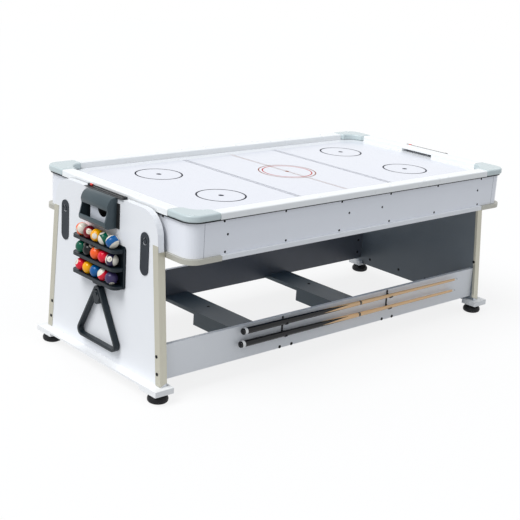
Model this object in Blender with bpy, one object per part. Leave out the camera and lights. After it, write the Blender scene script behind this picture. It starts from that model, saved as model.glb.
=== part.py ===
"""Flip-over games table: air hockey on top and pool underneath.

The cabinet turns on two shafts between two end legs.  Metres, +Z up.  X runs
along the table, -Y is the front with the cues, and the origin is on the floor
under the table's centre.
"""
import math

import bmesh
import bpy
from mathutils import Vector

for old in list(bpy.data.objects):
    bpy.data.objects.remove(old, do_unlink=True)

# Fits shared by every piece
CLEARANCE = 0.0003
OVERRUN = 0.004
ROUND_SIDES = 16
PIVOT_SIDES = 24
SMALL_SIDES = 12
HOLE_SIDES = 8

# Turning cabinet, the driving sizes
RAIL_LENGTH = 2.028
RAIL_WIDTH = 1.088
TABLE_HEIGHT = 0.817
CABINET_HEIGHT = 0.1505
CABINET_WALL = 0.015

# Hockey side
FIELD_DROP = 0.0285
FIELD_THICKNESS = 0.012
FIELD_STEP = 0.0005
RAIL_BAND = 0.062
RAIL_OVERHANG = 0.012
RAIL_ROUNDING = 0.006
GOAL_SLOT_HALF_WIDTH = 0.103
GOAL_SLOT_HEIGHT = 0.0145
CAP_LEG_LENGTH = 0.154
CAP_LEG_WIDTH = 0.152
CAP_CORNER_RADIUS = 0.060
CAP_PROUD = 0.0015
CAP_ROUNDING = 0.008
CAP_ROUNDING_STEPS = 4
CAP_ARC_INSET = 0.144
CAP_ARC_RADIUS = 0.068
CAP_WALL = 0.006

# Corner posts
POST_LEG = 0.070
POST_RADIUS = 0.055
POST_DEPTH = 0.030

# Pool side
POOL_RAIL_DEPTH = 0.020
POOL_RAIL_BAND = 0.090
BED_RISE = 0.020
BED_THICKNESS = 0.015
CORNER_POCKET_INSET = 0.079
CORNER_POCKET_RADIUS = 0.045
SIDE_POCKET_RADIUS = 0.042
SIDE_PLATE_HALF_LENGTH = 0.080
SIDE_PLATE_INSET = 0.014
SIDE_PLATE_THICKNESS = 0.004
SIDE_PLATE_SINK = 0.0007
CASTING_LEG_LENGTH = 0.168
CASTING_LEG_WIDTH = 0.175
CASTING_DROP = 0.0015
CASTING_PROUD = 0.002
CUSHION_DEPTH = 0.050
CUSHION_NOSE = 0.004
CUSHION_RAIL_SETBACK = 0.0015
CUSHION_BED_GAP = 0.003
CUSHION_NOSE_HEIGHT = 0.036
CUSHION_SLOPE_SHARE = 0.9
SIDE_CUSHION_GAP = 0.044
CUSHION_END_INSET = 0.004
CUP_WALL = 0.0022
CUP_STEP = 0.0008
CUP_DEPTH = 0.046
GLUE_DEPTH = 0.002
BATTEN_THICKNESS = 0.012
BATTEN_INSET = 0.004
BATTEN_PLACE_SHARES = (-0.66, -0.33, 0.33, 0.66)

# Pivot
SHAFT_RADIUS = 0.0125
PIVOT_PLATE_THICKNESS = 0.003
SHAFT_FLANGE_RADIUS = 0.045
SHAFT_FLANGE_THICKNESS = 0.006
BEARING_WALL = 0.0075
BEARING_FLANGE = 0.012
BEARING_FLANGE_THICKNESS = 0.003
PIVOT_END_SETBACK = 0.002

# End legs
LEG_GAP = 0.007
LEG_THICKNESS = 0.030
LEG_TOP_DROP = 0.016
LEG_SHOULDER_RADIUS = 0.110
LEG_WAIST_HALF = 0.388
LEG_WAIST_DROP = 0.136
LEG_FOOT_HALF = 0.439
LEG_TONGUE_INSET = 0.059
LEG_TONGUE_DROP = 0.0135
PUCK_NOTCH_HALF = 0.095
PUCK_NOTCH_DEPTH = 0.041

# Edge trims on the legs
TRIM_SHEET = 0.002
TRIM_FACET = 0.032
TRIM_FLANGE = 0.011
TRIM_TOP_STEP = 0.026
TRIM_BOTTOM_SLANT = 0.012
TRIM_BOTTOM_GAP = 0.003

# Base boards and levelling feet
BASE_TOP = 0.071
BASE_THICKNESS = 0.025
BASE_RELIEF_THICKNESS = 0.010
BASE_RELIEF_INSET = 0.117
BASE_REACH_IN = 0.021
BASE_REACH_OUT = 0.046
BASE_END_REACH = 0.028
BASE_CORNER_RADIUS = 0.004
FOOT_RADIUS = 0.045
FOOT_INSET = 0.052
FOOT_STUD_RADIUS = 0.005
FOOT_STUD_LENGTH = 0.015
FOOT_PROFILE_SHARES = ((0.67, 0.0), (0.92, 0.18), (1.0, 0.45), (1.0, 0.75), (0.88, 1.0))

# Lock plates, lock pins and strikers
LOCK_PLATE_Y = 0.301
LOCK_PLATE_WIDTH = 0.057
LOCK_PLATE_LENGTH = 0.183
LOCK_PLATE_THICKNESS = 0.003
LOCK_PIN_DROP = 0.0525
LOCK_PLATE_OVER_PIN = 0.039
LOCK_RECESS_RADIUS = 0.0165
LOCK_RECESS_DEPTH = 0.018
LOCK_PIN_RADIUS = 0.006
LOCK_KNOB_RADIUS = 0.0105
LOCK_KNOB_LENGTH = 0.006
LOCK_PIN_SETBACK = 0.0005
STRIKER_HALF_WIDTH = 0.0136
STRIKER_PLAY = 0.0006
STRIKER_SETBACK = 0.0005

# Stretchers and cross beams
STRETCHER_INSET = 0.028
STRETCHER_THICKNESS = 0.018
STRETCHER_BOTTOM = 0.090
STRETCHER_HEIGHT = 0.155
BEAM_X = 0.344
BEAM_WIDTH = 0.152
BEAM_THICKNESS = 0.018
RIB_THICKNESS = 0.018
RIB_HALF_LENGTH = 0.147
RIB_HEIGHT = 0.055
RIB_SETBACK = 0.0005

# Cues and their clips
CUE_LENGTH = 1.475
CUE_BUTT_RADIUS = 0.015
CUE_TIP_RADIUS = 0.006
CUE_STANDOFF = 0.023
CUE_SEATS = (0.2125, 0.1535)
CUE_BUTT_ENDS = (-0.615, -0.625)
CUE_BUMPER = 0.006
CLIP_PLACES = (-0.356, 0.342)
CLIP_WIDTH = 0.008
CLIP_TOP = 0.244
CLIP_BOTTOM_DROP = 0.004
CLIP_SHEET = 0.003
HOOK_RADIUS = 0.016
HOOK_LIP = 0.010

# Goal boxes and score bars
GOAL_HALF_WIDTH = 0.100
GOAL_BOTTOM_DROP = 0.131
GOAL_HEIGHT = 0.133
GOAL_REACH = 0.061
GOAL_WALL = 0.003
GOAL_PROFILE_SHARES = (
    (0.28, 1.0), (0.52, 0.965), (0.72, 0.87), (0.84, 0.72), (0.80, 0.60), (0.79, 0.54),
    (0.90, 0.33), (1.0, 0.16), (0.95, 0.055), (0.78, 0.0))
GOAL_PLATE_HALF_WIDTH = 0.1235
GOAL_PLATE_HEIGHT = 0.089
GOAL_PLATE_THICKNESS = 0.004
GOAL_WINDOW_BOTTOM = 0.032
GOAL_WINDOW_TOP = 0.077
GOAL_SQUARE_WINDOW = (0.028, 0.084)
GOAL_ROUND_WINDOW_Y = -0.055
GOAL_ROUND_WINDOW_RADIUS = 0.035
SCORE_HALF_LENGTH = 0.143
SCORE_STRIP_WIDTH = 0.014
SCORE_STRIP_THICKNESS = 0.003
SCORE_POST_LENGTH = 0.018
SCORE_POST_HEIGHT = 0.0122
SCORE_LIP = 0.001
SCORE_STRIP_LAP = 0.008
SCORE_ROD_RADIUS = 0.0028
SCORE_ROD_RISE = 0.0085
SCORE_BEAD_RADIUS = 0.0052
SCORE_BEAD_LENGTH = 0.016

# Balls, ball rack and triangle on the left leg
BALL_DIAMETER = 0.05715
BALLS_IN_TIER = 5
BALL_RINGS = 5
BALL_GAP = 0.00035
BALL_LINK_RADIUS = 0.003
TIER_PITCH = 0.079
RACK_GAP = 0.064
RACK_HEIGHT = 0.188
RACK_HALF_WIDTH = 0.172
RACK_SHEET = 0.003
RACK_CORNER_RADIUS = 0.014
TRAY_THICKNESS = 0.013
TRAY_HALF_WIDTH = 0.165
TRAY_OVERREACH = 0.024
TRAY_CORNER_RADIUS = 0.026
TRAY_HOLE_RADIUS = 0.009
LOW_TIER_RISE = 0.044
TRIANGLE_FOOT_GAP = 0.0436
TRIANGLE_BAR = 0.021
TRIANGLE_DEPTH = 0.028
TRIANGLE_CORNER_RADIUS = 0.022
TRIANGLE_INNER_RADIUS = 0.008
TRIANGLE_APEX_DROP = 0.024
HOOK_PEG_RADIUS = 0.007
HOOK_PEG_OVERREACH = 0.005
HOOK_PLATE_WIDTH = 0.030
HOOK_PLATE_FOOT = 0.012
HOOK_BRACKET_TOP_HALF = 0.058
HOOK_BRACKET_FOOT_HALF = 0.026
HOOK_BRACKET_HEIGHT = 0.019

# Blower, inlet and switch at the back of the cabinet
BLOWER_X = 0.500
BLOWER_RADIUS = 0.045
BLOWER_WALL = 0.003
BLOWER_DEPTH = 0.060
MOTOR_RADIUS = 0.015
MOTOR_LENGTH = 0.018
IMPELLER_RADIUS = 0.036
IMPELLER_DISC = 0.002
IMPELLER_DEPTH = 0.024
IMPELLER_HUB = 0.012
BLADE_THICKNESS = 0.0016
BLADES = 8
BLADE_ROOT_SHARE = 0.75
INTAKE_RING_RADIUS = 0.019
INTAKE_HOLE_RADIUS = 0.006
INTAKE_HOLES = 6
INLET_X = 0.380
INLET_PLATE = (0.062, 0.003, 0.034)
INLET_BODY = (0.054, 0.026, 0.026)
SOCKET_OFFSET = 0.013
SOCKET_OPENING = (0.022, 0.014, 0.018)
SOCKET_PIN_RADIUS = 0.0013
SOCKET_PIN_LENGTH = 0.009
SOCKET_PIN_SPACING = 0.010
SOCKET_PIN_DROP = 0.0045
ROCKER_OFFSET = 0.016
ROCKER_SIZE = (0.0134, 0.006, 0.017)
ROCKER_WINDOW = (0.014, 0.0165, 0.0195)
ROCKER_TILT = math.radians(8)
ROCKER_RIDGE = 0.0018
ROCKER_FOOT = 0.0085

# Places worked out from the sizes above
HALF_LENGTH = RAIL_LENGTH / 2
HALF_WIDTH = RAIL_WIDTH / 2
SIDE_X = HALF_LENGTH - RAIL_OVERHANG
SIDE_Y = HALF_WIDTH - RAIL_OVERHANG
INSIDE_X = SIDE_X - CABINET_WALL
INSIDE_Y = SIDE_Y - CABINET_WALL
FIELD_Z = TABLE_HEIGHT - FIELD_DROP
FIELD_BOTTOM = FIELD_Z - FIELD_THICKNESS
POOL_Z = FIELD_Z - CABINET_HEIGHT
POOL_RAIL_BOTTOM = POOL_Z - POOL_RAIL_DEPTH
BED_Z = POOL_Z + BED_RISE
BED_TOP = BED_Z + BED_THICKNESS
PIVOT_Z = (TABLE_HEIGHT + POOL_RAIL_BOTTOM) / 2
CAVITY_Z = (BED_TOP + FIELD_BOTTOM) / 2
POCKET_X = HALF_LENGTH - CORNER_POCKET_INSET
POCKET_Y = HALF_WIDTH - CORNER_POCKET_INSET
POOL_RAIL_Y = HALF_WIDTH - POOL_RAIL_BAND
POOL_RAIL_X = HALF_LENGTH - POOL_RAIL_BAND
LEG_INNER_X = HALF_LENGTH + LEG_GAP
LEG_OUTER_X = LEG_INNER_X + LEG_THICKNESS
LEG_TOP = TABLE_HEIGHT - LEG_TOP_DROP
LEG_WAIST_Z = LEG_TOP - LEG_WAIST_DROP
LOCK_PIN_Z = PIVOT_Z - LOCK_PIN_DROP
BASE_BOTTOM = BASE_TOP - BASE_THICKNESS
LEG_TONGUE_HALF = LEG_FOOT_HALF - LEG_TONGUE_INSET
BASE_HALF_LENGTH = LEG_FOOT_HALF + BASE_END_REACH
BASE_RELIEF_HALF = BASE_HALF_LENGTH - BASE_RELIEF_INSET
STRETCHER_FACE_Y = LEG_FOOT_HALF - STRETCHER_INSET
CUE_Y = STRETCHER_FACE_Y + CUE_STANDOFF
GOAL_BOTTOM = LEG_TOP - GOAL_BOTTOM_DROP
RACK_BOTTOM = GOAL_BOTTOM - RACK_GAP - RACK_HEIGHT
BALL_RADIUS = BALL_DIAMETER / 2
BALL_X = LEG_OUTER_X + CLEARANCE + RACK_SHEET + CLEARANCE + BALL_RADIUS
TRAY_SINK = math.sqrt(BALL_RADIUS ** 2 - TRAY_HOLE_RADIUS ** 2)


def leg_edge(z):
    """Half width of a leg at a height: the legs widen evenly from shoulder to foot."""
    slope = (LEG_FOOT_HALF - LEG_WAIST_HALF) / (LEG_WAIST_Z - BASE_TOP)
    return LEG_WAIST_HALF + (LEG_WAIST_Z - z) * slope


# Materials
def finish(name, colour, roughness, metallic=0.0):
    material = bpy.data.materials.new(name)
    material.use_nodes = True
    shader = material.node_tree.nodes["Principled BSDF"]
    shader.inputs["Base Color"].default_value = (*colour, 1.0)
    shader.inputs["Roughness"].default_value = roughness
    shader.inputs["Metallic"].default_value = metallic
    material.diffuse_color = (*colour, 1.0)
    return material


WHITE_BOARD = finish("white_board", (0.86, 0.87, 0.88), 0.35)
GREY_BOARD = finish("grey_board", (0.10, 0.11, 0.13), 0.45)
PLAY_SURFACE = finish("play_surface", (0.87, 0.88, 0.92), 0.2)
PALE_PLASTIC = finish("pale_plastic", (0.68, 0.74, 0.74), 0.3)
CHAMPAGNE_METAL = finish("champagne_metal", (0.45, 0.43, 0.36), 0.35, 0.8)
BLACK_PLASTIC = finish("black_plastic", (0.03, 0.04, 0.045), 0.4)
BLACK_STEEL = finish("black_steel", (0.02, 0.02, 0.02), 0.4, 0.6)
BRIGHT_STEEL = finish("bright_steel", (0.55, 0.55, 0.56), 0.3, 1.0)
RED_PLASTIC = finish("red_plastic", (0.75, 0.08, 0.06), 0.35)
POOL_CLOTH = finish("pool_cloth", (0.02, 0.16, 0.30), 0.9)
CUE_MAPLE = finish("cue_maple", (0.62, 0.42, 0.22), 0.3)
BALL_RESIN = finish("ball_resin", (0.75, 0.10, 0.08), 0.1)


# Plane shapes
def arc(centre, radius, start, end, steps):
    """Points on a circle from one angle to another, in degrees, both ends included."""
    points = []
    for i in range(steps + 1):
        angle = math.radians(start + (end - start) * i / steps)
        points.append((centre[0] + radius * math.cos(angle), centre[1] + radius * math.sin(angle)))
    return points


def mirrored(points, across, down):
    """The outline with its first and second coordinates multiplied by signs."""
    return [(a * across, b * down) for a, b in points]


def rounded_rectangle(half_a, half_b, radius, steps=4, centre=(0, 0)):
    points = []
    for quarter, (a, b) in enumerate(((1, 1), (-1, 1), (-1, -1), (1, -1))):
        middle = (centre[0] + a * (half_a - radius), centre[1] + b * (half_b - radius))
        points += arc(middle, radius, 90 * quarter, 90 * quarter + 90, steps)
    return points


def four_quarters(quarter):
    """The whole outline from its quarter, given from the first axis round to the second."""
    points = []
    for a, b in ((1, 1), (-1, 1), (-1, -1), (1, -1)):
        turned_quarter = mirrored(quarter, a, b)
        points += turned_quarter if a * b > 0 else turned_quarter[::-1]
    return points


def notched_rectangle(half_a, half_b, notch_a, notch_b):
    """A rectangle whose four corners are cut back to square notches."""
    return four_quarters([(half_a, notch_b), (notch_a, notch_b), (notch_a, half_b)])


def circle(centre, radius, sides=ROUND_SIDES):
    return arc(centre, radius, 0, 360, sides)[:-1]


def triangle_outline(side, inset, radius, base_z):
    """Upright equal-sided triangle on the (y, z) plane, moved in and with rounded corners."""
    inradius = side / (2 * math.sqrt(3))
    middle = (0, base_z + inradius)
    reach = 2 * (inradius - inset - radius)
    points = []
    for corner, angle in enumerate((90, 210, 330)):
        turn = math.radians(angle)
        centre = (middle[0] + reach * math.cos(turn), middle[1] + reach * math.sin(turn))
        points += arc(centre, radius, angle - 60, angle + 60, 6)
    return points


# Closed bodies, each a list of points and a list of faces
def place(a, b, along, axis):
    if axis == "X":
        return (along, a, b)
    if axis == "Y":
        return (a, along, b)
    return (a, b, along)


def prism(outline, low, high, axis):
    """An outline in the plane square to an axis, swept from low to high along it."""
    count = len(outline)
    points = [place(a, b, low, axis) for a, b in outline]
    points += [place(a, b, high, axis) for a, b in outline]
    faces = [tuple(range(count)), tuple(range(count, 2 * count))]
    for i in range(count):
        j = (i + 1) % count
        faces.append((i, j, j + count, i + count))
    return points, faces


def block(low, high):
    outline = [(low[0], low[1]), (high[0], low[1]), (high[0], high[1]), (low[0], high[1])]
    return prism(outline, low[2], high[2], "Z")


def side_block(side, near, far, low, high):
    """A block from near to far along X on one side of the centre, with its (y, z) corners."""
    ends = sorted((side * near, side * far))
    return block((ends[0], *low), (ends[1], *high))


def turned(profile, centre, axis, sides=ROUND_SIDES, direction=1):
    """A body of revolution from (radius, along) points; radius 0 lies on the axis."""
    points = []
    rings = []
    for radius, along in profile:
        if radius == 0:
            rings.append([len(points)] * sides)
            points.append(Vector(centre) + Vector(place(0, 0, direction * along, axis)))
            continue
        rings.append(list(range(len(points), len(points) + sides)))
        for a, b in circle((0, 0), radius, sides):
            points.append(Vector(centre) + Vector(place(a, b, direction * along, axis)))
    pairs = list(zip(rings, rings[1:]))
    if profile[0][0] != 0:
        pairs.append((rings[-1], rings[0]))
    faces = []
    for low, high in pairs:
        for i in range(sides):
            j = (i + 1) % sides
            corners = tuple(dict.fromkeys((low[i], low[j], high[j], high[i])))
            faces.append(corners)
    return points, faces


def swept(sections):
    """A closed body through a row of outlines with the same number of points."""
    count = len(sections[0])
    points = [point for section in sections for point in section]
    last = count * (len(sections) - 1)
    faces = [tuple(range(count)), tuple(range(last, last + count))]
    for step in range(len(sections) - 1):
        for i in range(count):
            j = (i + 1) % count
            low = step * count
            faces.append((low + i, low + j, low + count + j, low + count + i))
    return points, faces


# Objects
def mesh_of(name, bodies, origin):
    """One mesh of closed bodies, with outward faces and its points counted from origin."""
    shape = bmesh.new()
    for points, faces in bodies:
        corners = [shape.verts.new(Vector(point) - Vector(origin)) for point in points]
        for face in faces:
            shape.faces.new([corners[i] for i in face])
    bmesh.ops.recalc_face_normals(shape, faces=shape.faces)
    mesh = bpy.data.meshes.new(name)
    shape.to_mesh(mesh)
    shape.free()
    mesh.shade_smooth()
    mesh.set_sharp_from_angle(angle=math.radians(35))
    return mesh


def link(name, mesh):
    piece = bpy.data.objects.new(name, mesh)
    bpy.context.scene.collection.objects.link(piece)
    return piece


def combine(piece, bodies, operation):
    """Cut bodies out of a piece, or join them to it."""
    tool = link(piece.name + "_" + operation.lower(), mesh_of(piece.name, bodies, (0, 0, 0)))
    tool.hide_render = True
    tool.display_type = "WIRE"
    modifier = piece.modifiers.new(operation.title(), "BOOLEAN")
    modifier.operation = operation
    modifier.object = tool


def pivot_point(name, place_of_axis, carrier=None):
    """An empty on a joint's axis that carries the pieces that move with it."""
    point = link(name, None)
    point.location = Vector(place_of_axis)
    if carrier:
        point.parent = carrier
        point.location -= carrier_place(carrier)
    return point


def carrier_place(carrier):
    """World place of an empty: the sum of the places up its chain."""
    total = Vector((0, 0, 0))
    while carrier:
        total += carrier.location
        carrier = carrier.parent
    return total


def make(name, material, bodies, carrier, joined=(), cuts=(), rounding=0.0, steps=2):
    """A named piece under the empty that carries it, joined, rounded and cut in that order."""
    origin = carrier_place(carrier)
    piece = link(name, mesh_of(name, bodies, origin))
    piece.data.materials.append(material)
    piece.parent = carrier
    if joined:
        combine(piece, joined, "UNION")
    if rounding:
        bevel = piece.modifiers.new("Rounding", "BEVEL")
        bevel.width = rounding
        bevel.segments = steps
        bevel.limit_method = "ANGLE"
        bevel.angle_limit = math.radians(60)
    if cuts:
        combine(piece, cuts, "DIFFERENCE")
    return piece


SIDES = {"left": -1, "right": 1}
ENDS = {"front": -1, "back": 1}
stand = pivot_point("stand", (0, 0, 0))
top = pivot_point("top_pivot", (0, 0, PIVOT_Z))


# Hockey side of the cabinet
def rail_halves(leg_length, leg_width):
    """Half lengths of the long and the short rails, which end at the corner pieces' legs."""
    return HALF_LENGTH - leg_length - CLEARANCE, HALF_WIDTH - leg_width - CLEARANCE


def rail_profile(outer, inner, sign):
    """Upright cross-section of a hockey rail with rounded upper edges, as (across, z)."""
    radius = RAIL_ROUNDING
    top_z = TABLE_HEIGHT - radius
    points = [(inner, FIELD_Z + CLEARANCE), (outer, FIELD_Z + CLEARANCE)]
    points += arc((outer - radius, top_z), radius, 0, 90, 4)
    points += arc((inner + radius, top_z), radius, 90, 180, 4)
    return [(sign * across, z) for across, z in points]


def hockey_rails():
    """Four rails joined at the corners by tongues, which the corner caps cover."""
    long_half, short_half = rail_halves(CAP_LEG_LENGTH, CAP_LEG_WIDTH)
    rails = []
    for sign in ENDS.values():
        profile = rail_profile(HALF_WIDTH, HALF_WIDTH - RAIL_BAND, sign)
        rails.append(prism(profile, -long_half, long_half, "X"))
    for sign in SIDES.values():
        profile = rail_profile(HALF_LENGTH, HALF_LENGTH - RAIL_BAND, sign)
        rails.append(prism(profile, -short_half, short_half, "Y"))
    outline = tongue_outline(0, OVERRUN)
    high = TABLE_HEIGHT - CAP_WALL
    tongues = [prism(mirrored(outline, a, b), FIELD_Z + CLEARANCE, high, "Z") for a, b in corners()]
    slots = [side_block(sign, HALF_LENGTH - RAIL_BAND - OVERRUN, HALF_LENGTH + OVERRUN,
                        (-GOAL_SLOT_HALF_WIDTH, FIELD_Z - OVERRUN),
                        (GOAL_SLOT_HALF_WIDTH, FIELD_Z + GOAL_SLOT_HEIGHT)) for sign in SIDES.values()]
    make("hockey_rail_frame", WHITE_BOARD, rails, top, joined=tongues, cuts=slots)


def tongue_outline(grown, past_end):
    """Plan of a rail corner under its cap, thinner than the cap by the cap's wall."""
    x, y = HALF_LENGTH - CAP_WALL + grown, HALF_WIDTH - CAP_WALL + grown
    inner_x, inner_y = (half - RAIL_BAND + CAP_WALL - grown for half in (HALF_LENGTH, HALF_WIDTH))
    end_x = HALF_LENGTH - CAP_LEG_LENGTH - past_end
    end_y = HALF_WIDTH - CAP_LEG_WIDTH - past_end
    radius = CAP_CORNER_RADIUS
    outline = [(end_x, inner_y), (end_x, y)]
    outline += arc((x - radius, y - radius), radius, 90, 0, 8)
    return outline + [(x, end_y), (inner_x, end_y), (inner_x, inner_y)]


def corners():
    return [(a, b) for a in SIDES.values() for b in ENDS.values()]


def corner_names():
    return [(f"{side}_{end}", a, b) for side, a in SIDES.items() for end, b in ENDS.items()]


def corner_outline(length, width, band, outward):
    """Outside of a corner piece from its end on the long side round to the short side."""
    x, y = HALF_LENGTH + outward, HALF_WIDTH + outward
    radius = CAP_CORNER_RADIUS
    points = [(HALF_LENGTH - length, HALF_WIDTH - band), (HALF_LENGTH - length, y)]
    points += arc((x - radius, y - radius), radius, 90, 0, 8)
    points += [(x, HALF_WIDTH - width), (HALF_LENGTH - band, HALF_WIDTH - width)]
    return points


def corner_caps():
    outline = corner_outline(CAP_LEG_LENGTH, CAP_LEG_WIDTH, RAIL_BAND, CAP_PROUD)
    centre = (HALF_LENGTH - CAP_ARC_INSET, HALF_WIDTH - CAP_ARC_INSET)
    outline += arc(centre, CAP_ARC_RADIUS, 0, 90, 8)
    hollow = tongue_outline(CLEARANCE, OVERRUN)
    for name, a, b in corner_names():
        cap = prism(mirrored(outline, a, b), FIELD_Z + CLEARANCE, TABLE_HEIGHT + CAP_PROUD, "Z")
        inside = prism(mirrored(hollow, a, b), FIELD_Z - OVERRUN,
                       TABLE_HEIGHT - CAP_WALL + CLEARANCE, "Z")
        make(name + "_corner_cap", PALE_PLASTIC, [cap], top, rounding=CAP_ROUNDING, cuts=[inside],
             steps=CAP_ROUNDING_STEPS)


def field_outline():
    """Plan of the open field, which is what the rails and the corner caps leave free."""
    centre = (HALF_LENGTH - CAP_ARC_INSET, HALF_WIDTH - CAP_ARC_INSET)
    quarter = [(HALF_LENGTH - RAIL_BAND - CLEARANCE, HALF_WIDTH - CAP_LEG_WIDTH - CLEARANCE)]
    quarter += arc(centre, CAP_ARC_RADIUS - CLEARANCE, 0, 90, 8)
    quarter.append((HALF_LENGTH - CAP_LEG_LENGTH - CLEARANCE, HALF_WIDTH - RAIL_BAND - CLEARANCE))
    return four_quarters(quarter)


def playfield():
    """The playing board: its border carries the rails, and the field stands a hair higher."""
    outline = notched_rectangle(INSIDE_X - CLEARANCE, INSIDE_Y - CLEARANCE,
                                SIDE_X - POST_DEPTH - CLEARANCE, SIDE_Y - POST_DEPTH - CLEARANCE)
    field = prism(field_outline(), FIELD_Z - GLUE_DEPTH, FIELD_Z + FIELD_STEP, "Z")
    make("hockey_playfield", PLAY_SURFACE, [prism(outline, FIELD_BOTTOM, FIELD_Z, "Z")], top,
         joined=[field])


# Cabinet sides
def aprons():
    """Long boards between the rounded corners, and end boards that carry those corners."""
    long_half = SIDE_X - POST_LEG - CLEARANCE
    for end, sign in ENDS.items():
        y0, y1 = sorted((sign * INSIDE_Y, sign * SIDE_Y))
        cuts = back_openings() if end == "back" else ()
        board = block((-long_half, y0, POOL_Z), (long_half, y1, FIELD_Z))
        make(end + "_apron", WHITE_BOARD, [board], top, cuts=cuts)
    for side, sign in SIDES.items():
        board = prism(mirrored(end_apron_outline(), sign, 1), POOL_Z, FIELD_Z, "Z")
        make(side + "_apron", WHITE_BOARD, [board], top)


def end_apron_outline():
    """Plan of an end board with a thick rounded post at each end."""
    x, y = SIDE_X, SIDE_Y
    half = [(x - CABINET_WALL, y - POST_DEPTH), (x - POST_DEPTH, y - POST_DEPTH),
            (x - POST_DEPTH, y - CABINET_WALL), (x - POST_LEG, y - CABINET_WALL),
            (x - POST_LEG, y)]
    half += arc((x - POST_RADIUS, y - POST_RADIUS), POST_RADIUS, 90, 0, 8)
    return half + mirrored(half, 1, -1)[::-1]


def intake_holes():
    centres = [(BLOWER_X, CAVITY_Z)]
    centres += circle((BLOWER_X, CAVITY_Z), INTAKE_RING_RADIUS, INTAKE_HOLES)
    return [prism(circle(centre, INTAKE_HOLE_RADIUS, HOLE_SIDES), INSIDE_Y - OVERRUN,
                  SIDE_Y + OVERRUN, "Y") for centre in centres]


def back_openings():
    half_x = INLET_BODY[0] / 2 + CLEARANCE
    half_z = INLET_BODY[2] / 2 + CLEARANCE
    inlet = block((INLET_X - half_x, INSIDE_Y - OVERRUN, CAVITY_Z - half_z),
                  (INLET_X + half_x, SIDE_Y + OVERRUN, CAVITY_Z + half_z))
    return intake_holes() + [inlet]


# Pool side of the cabinet
def pockets():
    """Centre and radius of the six pockets."""
    corner = [((a * POCKET_X, b * POCKET_Y), CORNER_POCKET_RADIUS)
              for a in SIDES.values() for b in ENDS.values()]
    side = [((0, b * POCKET_Y), SIDE_POCKET_RADIUS) for b in ENDS.values()]
    return corner + side


def pocket_cutters(low, high):
    return [prism(circle(centre, radius), low, high, "Z") for centre, radius in pockets()]


def pool_bed():
    """The slate board with its holes, and on its back the ball cups and stiffening battens."""
    outline = notched_rectangle(INSIDE_X - CLEARANCE, INSIDE_Y - CLEARANCE,
                                SIDE_X - POST_DEPTH - CLEARANCE, SIDE_Y - POST_DEPTH - CLEARANCE)
    piece = make("pool_bed", POOL_CLOTH, [prism(outline, BED_Z, BED_TOP, "Z")], top,
                 cuts=pocket_cutters(BED_Z - OVERRUN, BED_TOP + OVERRUN))
    combine(piece, pocket_cups() + battens(), "UNION")


def battens():
    """Boards across the cabinet that carry the hockey board, sunk a little in the bed."""
    half_y = INSIDE_Y - CLEARANCE
    boards = []
    for share in BATTEN_PLACE_SHARES:
        x = share * INSIDE_X
        boards.append(block((x - BATTEN_THICKNESS / 2, BATTEN_INSET - half_y, BED_TOP - GLUE_DEPTH),
                            (x + BATTEN_THICKNESS / 2, half_y - BATTEN_INSET, FIELD_BOTTOM - CLEARANCE)))
    return boards


def pocket_cups():
    cups = []
    for (x, y), radius in pockets():
        inner = radius + CUP_STEP
        outer = inner + CUP_WALL
        profile = [(0, CUP_DEPTH - CUP_WALL), (inner, CUP_DEPTH - CUP_WALL), (inner, -GLUE_DEPTH),
                   (outer, -GLUE_DEPTH), (outer, CUP_DEPTH), (0, CUP_DEPTH)]
        cups.append(turned(profile, (x, y, BED_TOP), "Z"))
    return cups


def pool_rail_profile(outer, inner, step, sign):
    """Cross-section of a pool rail: a thick inner part and a lip under the apron."""
    low, lip, high = POOL_RAIL_BOTTOM, POOL_Z - CLEARANCE, BED_Z - CLEARANCE
    points = [(inner, low), (outer, low), (outer, lip), (step, lip), (step, high), (inner, high)]
    return [(sign * across, z) for across, z in points]


def pool_rails():
    """One frame: four rails, corner blocks, six cushions and two side plates round the pockets."""
    long_half, short_half = rail_halves(CASTING_LEG_LENGTH, CASTING_LEG_WIDTH)
    boards = []
    for sign in ENDS.values():
        profile = pool_rail_profile(HALF_WIDTH, POOL_RAIL_Y, INSIDE_Y - CLEARANCE, sign)
        boards.append(prism(profile, -long_half, long_half, "X"))
    for sign in SIDES.values():
        profile = pool_rail_profile(HALF_LENGTH, POOL_RAIL_X, INSIDE_X - CLEARANCE, sign)
        boards.append(prism(profile, -short_half, short_half, "Y"))
    blocks = [prism(mirrored(corner_block_outline(), a, b), POOL_Z, BED_Z - CLEARANCE, "Z")
              for a, b in corners()]
    piece = make("pool_rail_frame", WHITE_BOARD, boards, top, joined=blocks)
    combine(piece, cushions() + side_plates(), "UNION")
    combine(piece, pocket_cutters(POOL_RAIL_BOTTOM - OVERRUN, BED_Z + OVERRUN), "DIFFERENCE")


def corner_block_outline():
    """Plan of the block inside the cabinet's corner, which joins two rails over a casting."""
    x, y = INSIDE_X - CLEARANCE, INSIDE_Y - CLEARANCE
    post_x, post_y = SIDE_X - POST_DEPTH - CLEARANCE, SIDE_Y - POST_DEPTH - CLEARANCE
    end_x = HALF_LENGTH - CASTING_LEG_LENGTH - OVERRUN
    end_y = HALF_WIDTH - CASTING_LEG_WIDTH - OVERRUN
    inner_x, inner_y = POOL_RAIL_X + GLUE_DEPTH, POOL_RAIL_Y + GLUE_DEPTH
    return [(end_x, inner_y), (end_x, y - GLUE_DEPTH), (post_x, y - GLUE_DEPTH), (post_x, post_y),
            (x - GLUE_DEPTH, post_y), (x - GLUE_DEPTH, end_y), (inner_x, end_y), (inner_x, inner_y)]


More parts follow.
